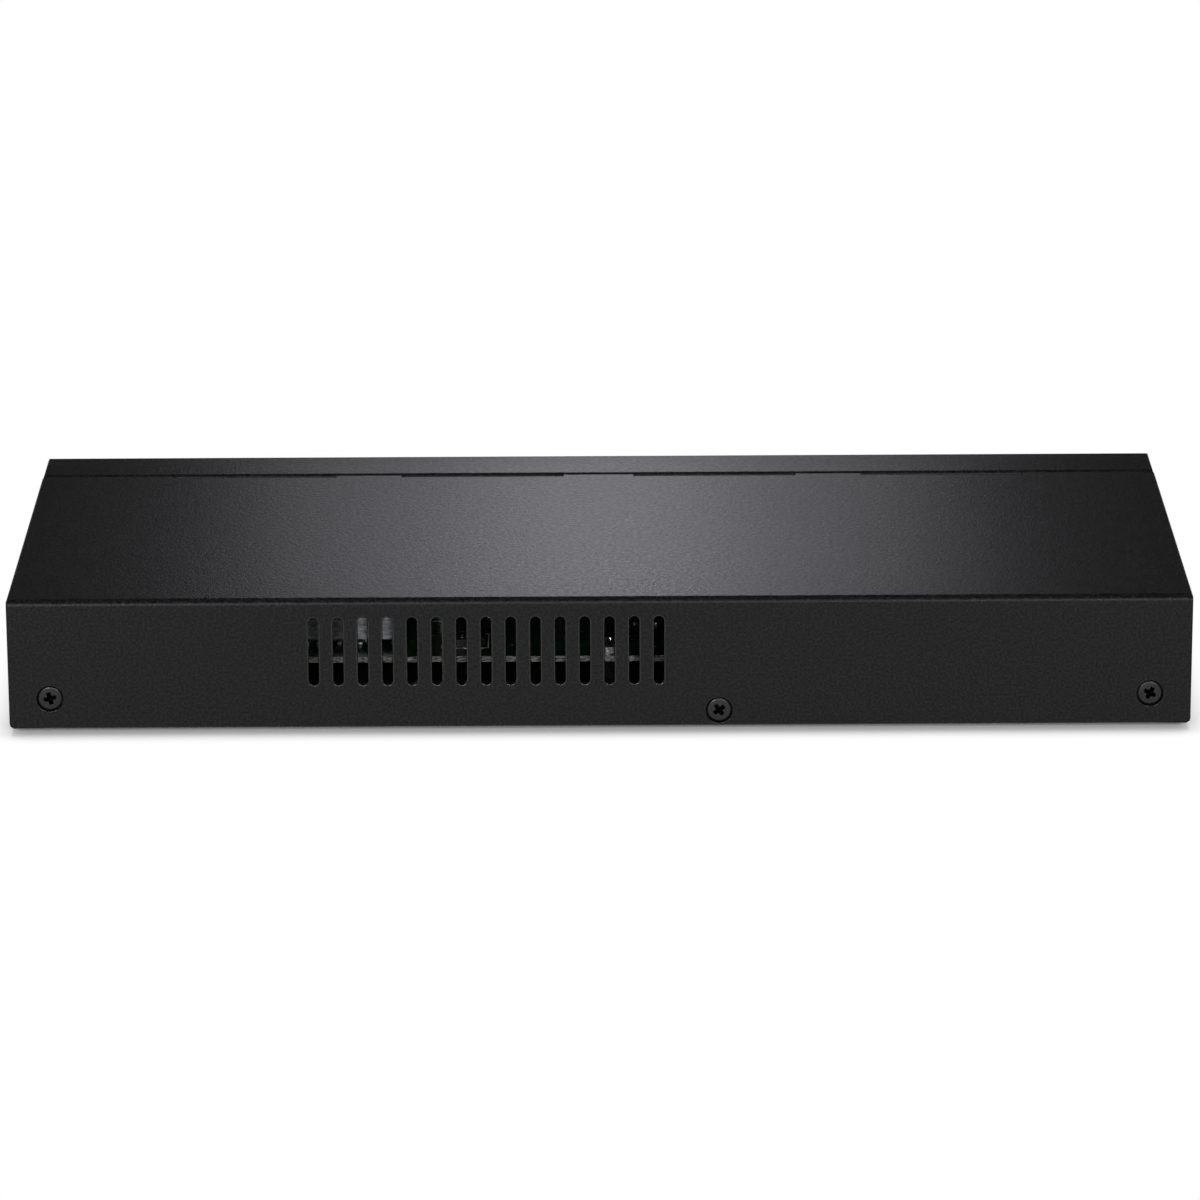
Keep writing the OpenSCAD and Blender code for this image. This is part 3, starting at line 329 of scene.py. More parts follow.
# thick-film resistors: glassy black overcoat on alumina
resistorGlaze = mouldedPlastic("resistorGlaze", "#151517", "#232328", 0.25, 0.5, 0.3, 0.004, 1.2)
# screen-printed white epoxy ink: slightly uneven and matt
whiteInk = mouldedPlastic("whiteScreenInk", "#c9cac8", "#dcdddb", 0.6, 0.35, 0.25, 0.004)
guidePlastic = clearGuide("clearLightGuide", "#c6cfc2", "#aeb9a9", 0.16, 1.0)
lampPlastic = clearGuide("greenLampResin", "#4f8f5a", "#3a7446", 0.2, 1.2)
for node, material in (("insulating_film", filmPlastic), ("rating_label", label), ("main_board", mask),
                       ("thermal_tape", tape)):
    nodes[node].material_slots[0].material = material
print("materials done")


def surfaceGrid(points, wrapRows=False, wrapColumns=False):
    # a surface on a grid of points (rows, columns, 3): quads between neighbours; wrapped ways join their ends
    rows, columns = points.shape[:2]
    index = np.arange(rows * columns).reshape(rows, columns)
    if wrapRows:
        index = np.vstack([index, index[:1]])
    if wrapColumns:
        index = np.hstack([index, index[:, :1]])
    quads = np.stack([index[:-1, :-1], index[1:, :-1], index[1:, 1:], index[:-1, 1:]], -1).reshape(-1, 4)
    return points.reshape(-1, 3), quads


def atPlaces(shape, places):
    # the same shape at each place: its points plus every offset, faces renumbered to match
    points, quads = shape
    places = np.asarray(places, float).reshape(-1, 3)
    moved = (points[None] + places[:, None]).reshape(-1, 3)
    faces = (quads[None] + np.arange(len(places))[:, None, None] * len(points)).reshape(-1, quads.shape[1])
    return moved, faces


def turned(shape, degrees, axis="Z"):
    # a shape turned about an axis through the origin
    matrix = np.array(Matrix.Rotation(math.radians(degrees), 3, axis))
    return shape[0] @ matrix.T, shape[1]


def buildPiece(name, shapes, material, replacing=(), smoothTo=35, body="base"):
    # joins shapes (points in mm, quads) into one closed mesh, closes poles and seams, turns faces outwards
    points = np.vstack([shape[0] for shape in shapes]) * mm
    starts = np.cumsum([0] + [len(shape[0]) for shape in shapes[:-1]])
    faces = np.vstack([shape[1] + start for shape, start in zip(shapes, starts)])
    mesh = bpy.data.meshes.new(name)
    mesh.from_pydata(points.tolist(), [], faces.tolist())
    work = bmesh.new()
    work.from_mesh(mesh)
    bmesh.ops.remove_doubles(work, verts=work.verts, dist=2e-7)
    bmesh.ops.dissolve_degenerate(work, edges=work.edges, dist=1e-8)
    bmesh.ops.recalc_face_normals(work, faces=work.faces)
    work.to_mesh(mesh)
    work.free()
    return finishPiece(name, mesh, material, body, replacing, smoothTo)


def finishPiece(name, mesh, material, body, replacing, smoothTo, bevel=None):
    # puts a mesh in the scene: its materials, smooth faces between sharp edges, its body and replaced nodes
    mesh.materials.clear()
    for one in material if isinstance(material, list) else [material]:
        mesh.materials.append(one)
    mesh.shade_smooth()
    mesh.set_sharp_from_angle(angle=math.radians(smoothTo))
    piece = bpy.data.objects.new(name, mesh)
    bpy.context.scene.collection.objects.link(piece)
    if bevel:
        addBevel(piece, *bevel)
    else:
        piece.modifiers.new("flatFacesStayFlat", "WEIGHTED_NORMAL").keep_sharp = True
    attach(piece, body)
    if replacing:
        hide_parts(*replacing)
    return piece


def addBevel(piece, width, segments, angle):
    # rounds edges sharper than the angle, by so many millimetres
    bevel = piece.modifiers.new("roundedEdges", "BEVEL")
    bevel.width, bevel.segments, bevel.limit_method = width * mm, segments, "ANGLE"
    bevel.angle_limit = math.radians(angle)
    bevel.miter_outer = "MITER_ARC"
    bevel.harden_normals = True


def roundedCopy(name, node, material, width, segments=2, angle=40, body="base", pierced=False,
                reshape=None, thinAt=None, seams=()):
    # a CAD node's mesh as a copy: loose triangles joined, flat faces made whole, edges rounded; pierced faces are
    # cut back into even triangles first. reshape moves its points, thinAt gives each edge's share of the rounding,
    # and seams (axis, place) are planes through the middles of openings, so that no face runs round one
    mesh = nodes[node].data.copy()
    if reshape:
        points = np.empty(3 * len(mesh.vertices), np.float32)
        mesh.vertices.foreach_get("co", points)
        mesh.vertices.foreach_set("co", (reshape(points.reshape(-1, 3) / mm) * mm).ravel())
    work = bmesh.new()
    work.from_mesh(mesh)
    bmesh.ops.remove_doubles(work, verts=work.verts, dist=2e-6)
    for axis, spot in seams:
        across = Vector([float(axis == k) for k in range(3)])
        cut = bmesh.ops.bisect_plane(work, geom=work.verts[:] + work.edges[:] + work.faces[:], dist=1e-6,
                                     plane_co=across * spot * mm, plane_no=across)
        for edge in cut["geom_cut"]:
            if isinstance(edge, bmesh.types.BMEdge):
                edge.seam = True
    bmesh.ops.dissolve_limit(work, verts=work.verts, edges=work.edges, angle_limit=math.radians(0.3),
                             delimit={"SEAM"})
    if pierced:
        bmesh.ops.triangulate(work, faces=[face for face in work.faces if len(face.verts) > 4])
    if thinAt:
        share = work.edges.layers.float.new("bevel_weight_edge")
        for edge in work.edges:
            if edge.is_manifold and edge.calc_face_angle() > math.radians(angle):
                edge[share] = thinAt((edge.verts[0].co + edge.verts[1].co) / 2 / mm)
    work.to_mesh(mesh)
    work.free()
    for attribute in [a.name for a in mesh.attributes if a.domain == "CORNER" and not a.name.startswith(".")]:
        mesh.attributes.remove(mesh.attributes[attribute])
    piece = finishPiece(name, mesh, material, body, (node,), 35, (width, segments, angle))
    bevel = piece.modifiers[0]
    bevel.use_clamp_overlap = not (pierced or thinAt)
    if thinAt:
        bevel.limit_method = "WEIGHT"
    if isinstance(material, list):
        bevel.material = 1  # the rounded strips take the second of the two


# shapes: every one is worked out as whole arrays, in millimetres

def roundedRect(halfX, halfY, radius, steps=2):
    # outlines of rounded rectangles: at each corner's centre, plus a point that runs a quarter circle round it
    halfX, halfY, radius = (np.asarray(size, float).reshape(-1, 1, 1) for size in (halfX, halfY, radius))
    turn = np.radians(np.arange(4)[:, None] * 90 + np.linspace(0, 90, steps + 1))
    signs = np.array([[1, 1], [-1, 1], [-1, -1], [1, -1]])
    x = signs[:, :1] * (halfX - radius) + radius * np.cos(turn)
    y = signs[:, 1:] * (halfY - radius) + radius * np.sin(turn)
    return np.stack([x, y], -1).reshape(len(x), -1, 2)


def softBlock(at, size, edge=0.1, corner=0.2, draft=0.0, steps=2):
    # block standing on its middle point: a rounded rectangle drawn in along a quarter circle at its top and bottom
    # edges; draft leans the sides in, away from a parting line at half height
    turn, high = np.linspace(0, np.pi / 2, steps + 1), size[2]
    inset = np.concatenate([edge * (1 - np.sin(turn)), edge * (1 - np.cos(turn))])
    level = np.concatenate([edge * (1 - np.cos(turn)), high - edge * (1 - np.sin(turn))])
    if draft:
        inset = np.insert(inset + draft * abs(2 * level / high - 1), steps + 1, 0.0)
        level = np.insert(level, steps + 1, high / 2)
    outline = roundedRect(size[0] / 2 - inset, size[1] / 2 - inset, np.maximum(corner - inset, 0.01), steps)
    rings = np.concatenate([outline, np.repeat(level[:, None, None], outline.shape[1], 1)], -1)
    ends = np.zeros_like(rings[:2])
    ends[1, :, 2] = high
    return surfaceGrid(np.concatenate([ends[:1], rings, ends[1:]]) + at, wrapColumns=True)


def lathe(profile, at=(0, 0, 0), steps=32, axis="Z"):
    # profile of (radius, height) carried round an axis: x = r cos a, y = r sin a
    profile, turn = np.asarray(profile, float), np.linspace(0, 2 * np.pi, steps, endpoint=False)
    points = np.stack([profile[:, :1] * np.cos(turn), profile[:, :1] * np.sin(turn),
                       np.repeat(profile[:, 1:], steps, 1)], -1)
    if axis == "Y":
        points = points[..., [0, 2, 1]]
    return surfaceGrid(points + at, wrapColumns=True)


def backwards(node, inner, wide, deep, rest, before=(), steps=40, arc=5):
    # lathed piece on a CAD node's axis, from its front face back: the points before its nose, then a quarter round
    # that runs from the inner radius wide out and deep back, then the rest of its profile, as (radius, depth)
    low, high = boxOf(node)
    middle, turn = (low + high) / 2, np.linspace(0, np.pi / 2, arc)[:, None]
    nose = np.hstack([inner + wide * np.sin(turn), deep * (1 - np.cos(turn))])
    profile = np.vstack([*([before] if before else []), nose, rest])
    return lathe(profile, (middle[0], low[1], middle[2]), steps, "Y")


def bentBar(path, section, taper=None):
    # bar along a path of (y, z): each point is the path's, plus the section's u along x and its v along the path's
    # mitred normal; taper scales the section along the way
    path, section = np.asarray(path, float), np.asarray(section, float)
    ways = np.diff(path, axis=0)
    ways /= np.linalg.norm(ways, axis=1, keepdims=True)
    normals = np.stack([-ways[:, 1], ways[:, 0]], -1)
    joints = np.vstack([2 * normals[:1], normals[:-1] + normals[1:], 2 * normals[-1:]])
    joints /= (joints ** 2).sum(1, keepdims=True) / 2
    scale = np.ones(len(path)) if taper is None else np.asarray(taper, float)
    u, v = scale[:, None] * section[:, 0], scale[:, None] * section[:, 1]
    points = np.stack([u, path[:, :1] + v * joints[:, :1], path[:, 1:] + v * joints[:, 1:]], -1)
    ends = np.zeros_like(points[:2])
    ends[:, :, 1:] = path[[0, -1], None]
    return surfaceGrid(np.concatenate([ends[:1], points, ends[1:]]), wrapColumns=True)


def strip(width, thick):
    # flat section for bentBar
    return np.array([(-1, -1), (1, -1), (1, 1), (-1, 1)]) * (width / 2, thick / 2)


def roundWire(radius, sides):
    # round section for bentBar
    turn = np.linspace(0, 2 * np.pi, sides, endpoint=False)
    return radius * np.stack([np.cos(turn), np.sin(turn)], -1)


def lineFrame(at, size, line, high):
    # raised line round a rectangle: a small rectangular section carried round the corners
    offsets = np.array([(0, 0), (0, high), (-line, high), (-line, 0)])
    outline = np.array([(1, 1), (-1, 1), (-1, -1), (1, -1)])
    flat = outline[None] * (np.asarray(size) / 2 + offsets[:, None, :1])
    points = np.concatenate([flat, np.repeat(offsets[:, None, 1:], 4, 1)], -1)
    return surfaceGrid(points + at, wrapRows=True, wrapColumns=True)


def onSides(row, halfX, halfY, sides, at):
    # a row of leads that head +y, set on a package's sides: 0 is +y, 1 is -x, 2 is -y, 3 is +x
    return [atPlaces(turned(atPlaces(row, [(0, halfX if side % 2 else halfY, 0)]), 90 * side), [at])
            for side in sides]


def leadRow(count, pitch, reach, high, width, thick):
    # gull-wing leads side by side: out of the body, down, and a foot along the board
    foot, buried = thick / 2 + 0.02, -0.3
    path = [(buried, high), (0.25 * reach, high), (0.5 * reach, foot), (reach - thick / 2, foot)]
    spots = np.zeros((count, 3))
    spots[:, 0] = (np.arange(count) - (count - 1) / 2) * pitch
    return atPlaces(bentBar(path, strip(width, thick)), spots)


# the three cover screws

screwLook = dict(head=2.45, rim=0.12, sinkDepth=0.85, dome=0.16, fall=0.13, fallOver=0.34, shank=1.45, root=1.2,
                 pitch=0.5, length=6.0, tip=0.4, armWidth=0.86, armTaper=0.12, armLength=2.5, recess=1.6,
                 recessRise=0.4, wall=0.08, columns=96, turns=(-28, 36, 14), middleX=-24.2, markFrom=0.1, markOver=0.3)


def crossScrew(look, degrees):
    # head: a shallow dome with a cross let in, on a polar grid; height = -dome r^2/R^2, less a fall near the rim that
    # grows with the square, less the recess, which is the deeper of two arms, each a product of soft steps across and
    # along it. Below it the cone and a helical thread, whose radius is a triangle wave of height and turn
    turn = np.linspace(0, 2 * np.pi, look["columns"], endpoint=False)
    flatTo, arm = look["head"] - look["fallOver"], look["armLength"] / 2
    # rings: close together over the cross, a few on the plain face, then closer again towards the rim
    radius = np.concatenate([np.linspace(0, arm * 1.24, 22), np.linspace(arm * 1.36, flatTo, 5),
                             look["head"] - look["fallOver"] * np.linspace(0.75, 0, 6) ** 1.5])[:, None]
    x, y = radius * np.cos(turn), radius * np.sin(turn)
    away = math.radians(degrees)
    u, v = x * np.cos(away) + y * np.sin(away), y * np.cos(away) - x * np.sin(away)
    step = lambda gap: np.clip(gap / look["wall"] + 0.5, 0, 1)
    arms = [step(look["armWidth"] / 2 * (1 - look["armTaper"] * abs(along)) - abs(across)) * step(arm - abs(along))
            for along, across in ((u, v), (v, u))]
    deep = np.maximum(*arms) * look["recess"] * (1 - look["recessRise"] * np.clip(radius / arm, 0, 1) ** 4)
    height = look["dome"] * (1 - (radius / look["head"]) ** 2) - look["dome"] - deep
    height -= look["fall"] * np.clip(1 - (look["head"] - radius) / look["fallOver"], 0, 1) ** 2
    head = np.stack([x, y, height], -1)
    under, end = look["dome"] + look["fall"] + look["rim"], -look["length"]
    cone = -look["sinkDepth"] - under
    level = np.concatenate([[-under, cone], np.arange(cone - 0.1, end + look["tip"] + 0.1, -look["pitch"] / 6),
                            [end + look["tip"], end, end]])[:, None]
    thread = abs(((level / look["pitch"] + turn / (2 * np.pi)) % 1) - 0.5) * 2
    shank = look["root"] + (look["shank"] - look["root"]) * thread
    shank[0], shank[1] = look["head"], look["shank"]
    shank[-3:] = np.array([[look["root"]], [look["root"] - look["tip"]], [0.0]])
    body = np.stack([shank * np.cos(turn), shank * np.sin(turn), np.repeat(level, len(turn), 1)], -1)
    return surfaceGrid(np.concatenate([head, body]), wrapColumns=True)


# the node's box runs from rim to rim of the heads, so its corners less a head's radius are their middles
screwLow, screwHigh = boxOf("cover_screws")
backFace, head = screwHigh[1], screwLook["head"]
screwSpots = [(screwLow[0] + head, screwHigh[2] - head), (screwLook["middleX"], screwLow[2] + head),
              (screwHigh[0] - head, screwHigh[2] - head)]
screwShapes = [atPlaces(turned(crossScrew(screwLook, degrees), -90, "X"), [(x, backFace, z)])
               for (x, z), degrees in zip(screwSpots, screwLook["turns"])]
coverScrews = buildPiece("coverScrews", screwShapes, screwMetal, ("cover_screws",), 40, "case_screws")


def fromScrews(points):
    # each point's distance from the nearest screw's axis, and its steps in x and z from that axis
    steps = np.asarray(points)[..., None, [0, 2]] - np.array(screwSpots)
    away = np.linalg.norm(steps, axis=-1)
    nearest = away.argmin(-1)
    return away.min(-1), np.take_along_axis(steps, nearest[..., None, None], -2)[..., 0, :]


def markRecess(piece, look):
    # mask for the painted shade: 1 at the foot of each cross and 0 on the head's face, by how far a point lies below
    # it, within the cross's reach
    points = np.empty(3 * len(piece.data.vertices), np.float32)
    piece.data.vertices.foreach_get("co", points)
    points = points.reshape(-1, 3) / mm
    below = backFace - points[:, 1] - look["dome"]
    inCross = (fromScrews(points)[0] < look["root"] - 0.02) * (below < look["recess"] + 0.1)
    mark = np.clip((below - look["markFrom"]) / look["markOver"], 0, 1) * inCross
    piece.data.attributes.new("recess", "FLOAT", "POINT").data.foreach_set("value", mark.astype(np.float32))


markRecess(coverScrews, screwLook)
print("screws done")


# the case: folded sheets with their cut edges softened by the coat
# rounding and how far in from the outside it applies, then the joint's place and the screw seats; the slots repeat
# the CAD's, because the shells are cut through their middles
caseEdges = dict(coverEdge=0.3, trayEdge=0.2, segments=3, skin=0.3, corner=1.7, reliefTop=3.0,
                 jointEnd=-34, seatOut=2.76, seatLip=0.05, seatEnd=1.5, seatShare=0.35)
rearSlots = dict(first=-12.0, pitch=5.0, count=15)
sideSlots = dict(first=-8.5, pitch=5.0, count=10)
coverEnd, coverBack, coverTop = boxOf("top_cover")[1]
coverSeams = [(axis, slots["first"] + k * slots["pitch"]) for axis, slots in enumerate((rearSlots, sideSlots))
              for k in range(slots["count"])] + [(0, x) for x, _ in screwSpots]
frontOpenings = ("port_housing_left", "port_housing_right", "inlet_housing", "power_lamp", "reset_plunger")
traySeams = [(0, middleOf(node)[0]) for node in frontOpenings]


def openSeats(points):
    # the cover's screw seats seen as straight-walled: points inside a seat and behind its mouth move out to seatOut
    away, steps = fromScrews(points)
    deep = coverBack - points[:, 1]
    inSheet = (away < caseEdges["seatOut"] + 0.1) & (deep > caseEdges["seatLip"]) & (deep < caseEdges["seatEnd"])
    grow = np.where(inSheet, caseEdges["seatOut"] / np.maximum(away, 0.1), 1.0)[:, None] - 1
    return points + np.insert(steps * grow, 1, 0.0, axis=1)


def coverShare(spot):
    # share of the rounding for an edge of the cover: full on the back and side faces, less where folds meet at a
    # corner and at the screw seats' mouths, none inside or along the joint with the tray
    side, back = coverEnd - abs(spot[0]), coverBack - spot[1]
    relief = max(side, back) < caseEdges["corner"] and spot[2] < caseEdges["reliefTop"]
    if min(side, back) > caseEdges["skin"] or spot[1] < caseEdges["jointEnd"] or relief:
        return 0.0
    corner = side < caseEdges["corner"] and min(back, coverTop - spot[2]) < caseEdges["corner"]
    seat = back < caseEdges["skin"] and fromScrews(np.array(spot))[0] < caseEdges["seatOut"] + 0.3
    return caseEdges["seatShare"] if seat or corner else 1.0


def trayShare(spot):
    # the tray's openings are rounded on the front panel, clear of its folds
    low, high = boxOf("base_tray")
    past = [abs(spot[0]) - high[0], low[2] - spot[2], spot[2] - high[2]]
    return float(spot[1] - low[1] < caseEdges["skin"] and max(past) < -caseEdges["corner"])


coats = [powderPaint, edgePaint]
roundedCopy("coverShell", "top_cover", coats, caseEdges["coverEdge"], caseEdges["segments"],
            body="cover", reshape=openSeats, thinAt=coverShare, seams=coverSeams)
roundedCopy("trayShell", "base_tray", coats, caseEdges["trayEdge"], caseEdges["segments"],
            thinAt=trayShare, seams=traySeams)
print("case done")


# feet: pressed discs with a dished sole

footLook = dict(profile=[(0, 0.35), (3.5, 0.35), (3.9, 0.0), (5.1, 0.0), (5.55, 0.12), (5.86, 0.4), (5.97, 0.75),
                         (6.0, 1.1), (6.0, 1.5), (0, 1.5)], steps=64)
footNodes = [f"foot_{end}_{side}" for end in ("front", "back") for side in ("left", "right")]
buildPiece("rubberFeet", [lathe(footLook["profile"], middleOf(node), footLook["steps"]) for node in footNodes],
           rubber, footNodes, 40)


# ports: shield, housing, contacts and light guides
# wireRun and wireDrop: a contact wire's path back from the mouth and down from the cavity's roof
portLook = dict(pitch=13.97, ports=4, mouthHalf=5.95, mouthLow=4.1, plugTop=10.8, contactPitch=1.02, wire=0.17,
                wireRun=[2.5, 3.4, 4.2, 4.7, 5.3, 7.5, 10.0, 11.6, 12.1, 12.45],
                wireDrop=[0, 0, 0.02, 0.09, 0.24, 0.78, 1.36, 1.7, 1.74, 1.66],
                rib=(0.34, 1.7, 1.02), ribBack=1.15, finger=(2.6, 0.14), fingerBow=0.28, fingerLong=5.5,
                fingerUp=3.6, lance=(1.5, 0.18), lanceLong=2.8, lanceApart=3.6, lanceBack=5.5)
blocks = {"left": middleOf("port_shield_left"), "right": middleOf("port_shield_right")}
deckTop, portFront = blocks["left"][2], boxOf("port_shield_left")[0][1]
portSpots = {side: [(middle[0] + (n - 1.5) * portLook["pitch"], portFront, deckTop)
                    for n in range(portLook["ports"])] for side, middle in blocks.items()}  # left to right


def portWires(look, spots):
    # eight sprung wires: flat under the cavity's roof, bending at a knee, then sloping down to a lifted tip
    level = look["plugTop"] - look["wire"] - 0.02 - np.array(look["wireDrop"])
    wire = bentBar(np.stack([look["wireRun"], level], -1), roundWire(look["wire"], 8))
    eight = atPlaces(wire, [((n - 3.5) * look["contactPitch"], 0, 0) for n in range(8)])
    return atPlaces(eight, spots)


def portCombs(look, spots):
    # thin ribs between the wires at the front of the cavity
    rib = softBlock((0, look["ribBack"], look["plugTop"] - 1.0), look["rib"], 0.06, 0.08, steps=1)
    return atPlaces(atPlaces(rib, [((n - 4) * look["contactPitch"], 0, 0) for n in range(9)]), spots)


def portFingers(look, spots):
    # a spring finger down each side of a mouth, bowed inwards: a strip carried along a shallow sine
    along = np.linspace(0, 1, 9)
    path = np.stack([0.35 + look["fingerLong"] * along, look["fingerBow"] * np.sin(np.pi * along) ** 1.5], -1)
    finger = turned(bentBar(path, strip(*look["finger"])), 90, "Y")
    out = atPlaces(finger, [(-look["mouthHalf"] - 0.02, 0, look["mouthLow"] + look["fingerUp"])])
    mirrored = (out[0] * (-1, 1, 1), out[1][:, ::-1])
    return [atPlaces(shape, spots) for shape in (out, mirrored)]


def shieldLances(look, side):
    # tabs lanced out of the shield's roof, two for each port
    long, roof = look["lanceLong"], boxOf(f"port_shield_{side}")[1][2]
    tab = bentBar([(0, -0.05), (long * 0.25, -0.03), (long, 0.26)], strip(*look["lance"]))
    return atPlaces(tab, [(x + way * look["lanceApart"], y + look["lanceBack"], roof)
                          for x, y, _ in portSpots[side] for way in (-1, 1)])


for side, spots in portSpots.items():
    roundedCopy(f"portShield_{side}", f"port_shield_{side}", tinnedSteel, 0.06, pierced=True)
    roundedCopy(f"portHousing_{side}", f"port_housing_{side}", glassNylon, 0.05, pierced=True)
    roundedCopy(f"portLights_{side}", f"port_lights_{side}", guidePlastic, 0.22, 3)
    buildPiece(f"portContacts_{side}", [portWires(portLook, spots)], contactGold,
               (f"port_contacts_{side}",), 60)
    buildPiece(f"portCombs_{side}", [portCombs(portLook, spots)], glassNylon)
    buildPiece(f"portFingers_{side}", portFingers(portLook, spots) + [shieldLances(portLook, side)], tinnedSteel)
print("ports done")


# port numbers printed on the front panel

numberLook = dict(size=2.5, level=24.55, proud=0.01)


def portNumbers(look):
    # each digit's outline as a text's own mesh, stood upright to face -y and set over its port
    panel = boxOf("base_tray")[0][1]
    work, spots = bmesh.new(), portSpots["left"] + portSpots["right"]
    for n, (x, _, _) in enumerate(sorted(spots), 1):
        text = bpy.data.curves.new("portNumber", "FONT")
        text.body, text.size, text.align_x, text.align_y = str(n), look["size"] * mm, "CENTER", "CENTER"
        text.extrude = look["proud"] * mm
        holder = bpy.data.objects.new("portNumber", text)
        mesh = bpy.data.meshes.new_from_object(holder)
        place = Matrix.Translation(Vector((x, panel, look["level"])) * mm)
        mesh.transform(place @ Matrix.Rotation(math.pi / 2, 4, "X"))
        work.from_mesh(mesh)
        bpy.data.objects.remove(holder)
        bpy.data.curves.remove(text)
        bpy.data.meshes.remove(mesh)
    bmesh.ops.remove_doubles(work, verts=work.verts, dist=1e-7)
    mesh = bpy.data.meshes.new("portNumbers")
    work.to_mesh(mesh)
    work.free()
    finishPiece("portNumbers", mesh, whiteInk, "base", (), 30)


portNumbers(numberLook)
print("numbers done")


# power inlet, reset switch and power lamp

inletLook = dict(pin=1.0, tip=0.45, free=8.7, root=1.3, chamfer=0.2)


def inletPin(look):
    # centre pin: a rounded nose, the plain length in the barrel and a thicker root through the back wall
    pin, free, root, chamfer, long = look["pin"], look["free"], look["root"], look["chamfer"], sizeOf("inlet_pin")[1]
    rest = [(pin, free), (root, free), (root, long - chamfer), (root - chamfer, long), (0, long)]
    return backwards("inlet_pin", 0, pin, look["tip"], rest, steps=32)


roundedCopy("inletHousing", "inlet_housing", glassNylon, 0.18, 3)
roundedCopy("inletSpring", "inlet_spring", tinnedSteel, 0.08, 2, 25)
buildPiece("inletPin", [inletPin(inletLook)], tinnedLead, ("inlet_pin",), 45)
roundedCopy("resetBody", "reset_switch_body", glassNylon, 0.12)
roundedCopy("resetClip", "reset_switch_frame", tinnedSteel, 0.08)
roundedCopy("lampHolder", "power_lamp_holder", glassNylon, 0.15)

plungerLook = dict(radius=1.65, edge=0.25, dimple=0.6, dish=0.3)


def resetPlunger(look):
    # round plunger with a softened edge and a shallow dish that guides a pin to its middle
    wide, deep, edge, long = look["dimple"], look["dish"], look["edge"], sizeOf("reset_plunger")[1]
    dish = [(0, deep), (wide * 0.6, deep * 0.8), (wide, deep * 0.2), (wide + 0.15, 0)]
    rest = [(look["radius"], long), (0, long)]
    return backwards("reset_plunger", look["radius"] - edge, edge, edge, rest, dish)


buildPiece("resetPlunger", [resetPlunger(plungerLook)], plungerNylon, ("reset_plunger",), 45,
           "reset_button")

powerLampLook = dict(radius=1.45, nose=0.9, flange=1.8, flangeLong=1.0, chamfer=0.1, body=5.0)


def powerLamp(look):
    # three-millimetre lamp: a hemispherical nose flattened to the panel, its flange, and the body behind
    radius, rim, cut, long = look["radius"], look["flange"], look["chamfer"], sizeOf("power_lamp")[1]
    start = long - look["body"]
    end = start + look["flangeLong"]
    rest = [(radius, start - 0.02), (rim - cut, start), (rim, start + cut), (rim, end - cut), (rim - cut, end),
            (radius, end + 0.02), (radius, long - cut), (radius - cut, long), (0, long)]
    return backwards("power_lamp", 0, radius, look["nose"], rest, arc=8)


buildPiece("powerLamp", [powerLamp(powerLampLook)], lampPlastic, ("power_lamp",), 40)
print("inlet, reset and lamp done")


# the board's fixings

roundedCopy("boardStandoffs", "board_standoffs", powderPaint, 0.12)
roundedCopy("boardScrews", "board_screws", zincSteel, 0.07)


# packages: body and leads

packageLook = dict(corner=0.25, draft=0.16, leadThick=0.16, rise=0.1, mark=0.07, markIn=(0.14, 0.12))
# for each kind: its nodes, leads on a side, their pitch, reach, width and sides, and its edges' rounding
packages = dict(
    lineTransformer=dict(nodes=[f"line_transformer_{n}" for n in range(1, 9)], count=12, pitch=1.15, reach=0.85,
                         width=0.45, sides=(1, 3), edge=0.3),
    switchChip=dict(nodes=["switch_chip"], count=36, pitch=0.5, reach=1.05, width=0.2, sides=(0, 1, 2, 3), edge=0.1),
    memoryChip=dict(nodes=["memory_chip"], count=4, pitch=1.2, reach=1.0, width=0.42, sides=(1, 3), edge=0.14),
    regulators=dict(nodes=["regulator_chip_1", "regulator_chip_2"], count=4, pitch=1.2, reach=0.9, width=0.42,
                    sides=(0, 2), edge=0.14),
    surgeDiode=dict(nodes=["surge_diode"], count=1, pitch=1, reach=0.7, width=1.9, sides=(1, 3), edge=0.2))


def packageShapes(nodeName, group):
    # moulded body with drafted sides, a round mark for its first lead, and its rows of leads
    low, high = boxOf(nodeName)
    look, foot, size = packageLook, middleOf(nodeName), high - low
    rise = min(look["rise"], size[2] / 10)  # a gap under the body, where the leads lift it off the board
    body = [softBlock(foot + (0, 0, rise), size - (0, 0, rise), group["edge"], look["corner"], look["draft"], 3)]
    mark, inX, inY = min(size[:2]) * look["mark"], *look["markIn"]
    if group["count"] > 1:
        body.append(lathe([(0, -0.05), (0, 0.004), (mark * 0.75, 0.004), (mark * 0.88, 0.03), (mark, 0.004),
                           (mark, -0.05)], (low[0] + size[0] * inX, low[1] + size[1] * inY, high[2]), 20))
    row = leadRow(group["count"], group["pitch"], group["reach"], size[2] / 2, group["width"], look["leadThick"])
    return body, onSides(row, *(size[:2] - look["draft"]) / 2, group["sides"], foot)


for groupName, group in packages.items():
    bodies, leads = [], []
    for node in group["nodes"]:
        one, row = packageShapes(node, group)
        bodies, leads = bodies + one, leads + row
    buildPiece(groupName, bodies, epoxy, group["nodes"], 50)
    buildPiece(groupName + "Leads", leads, tinnedLead, (), 30)
print("packages done")


# cooling

roundedCopy("heatSink", "heat_sink", sinkMetal, 0.14)


# power components

canLook = dict(bead=1.3, beadDeep=0.3, beadHigh=0.8, foot=0.3, shoulder=0.55, lip=0.5, lipThick=0.12, steps=48,
               vent=0.07, ventWide=0.13, ventReach=0.85)


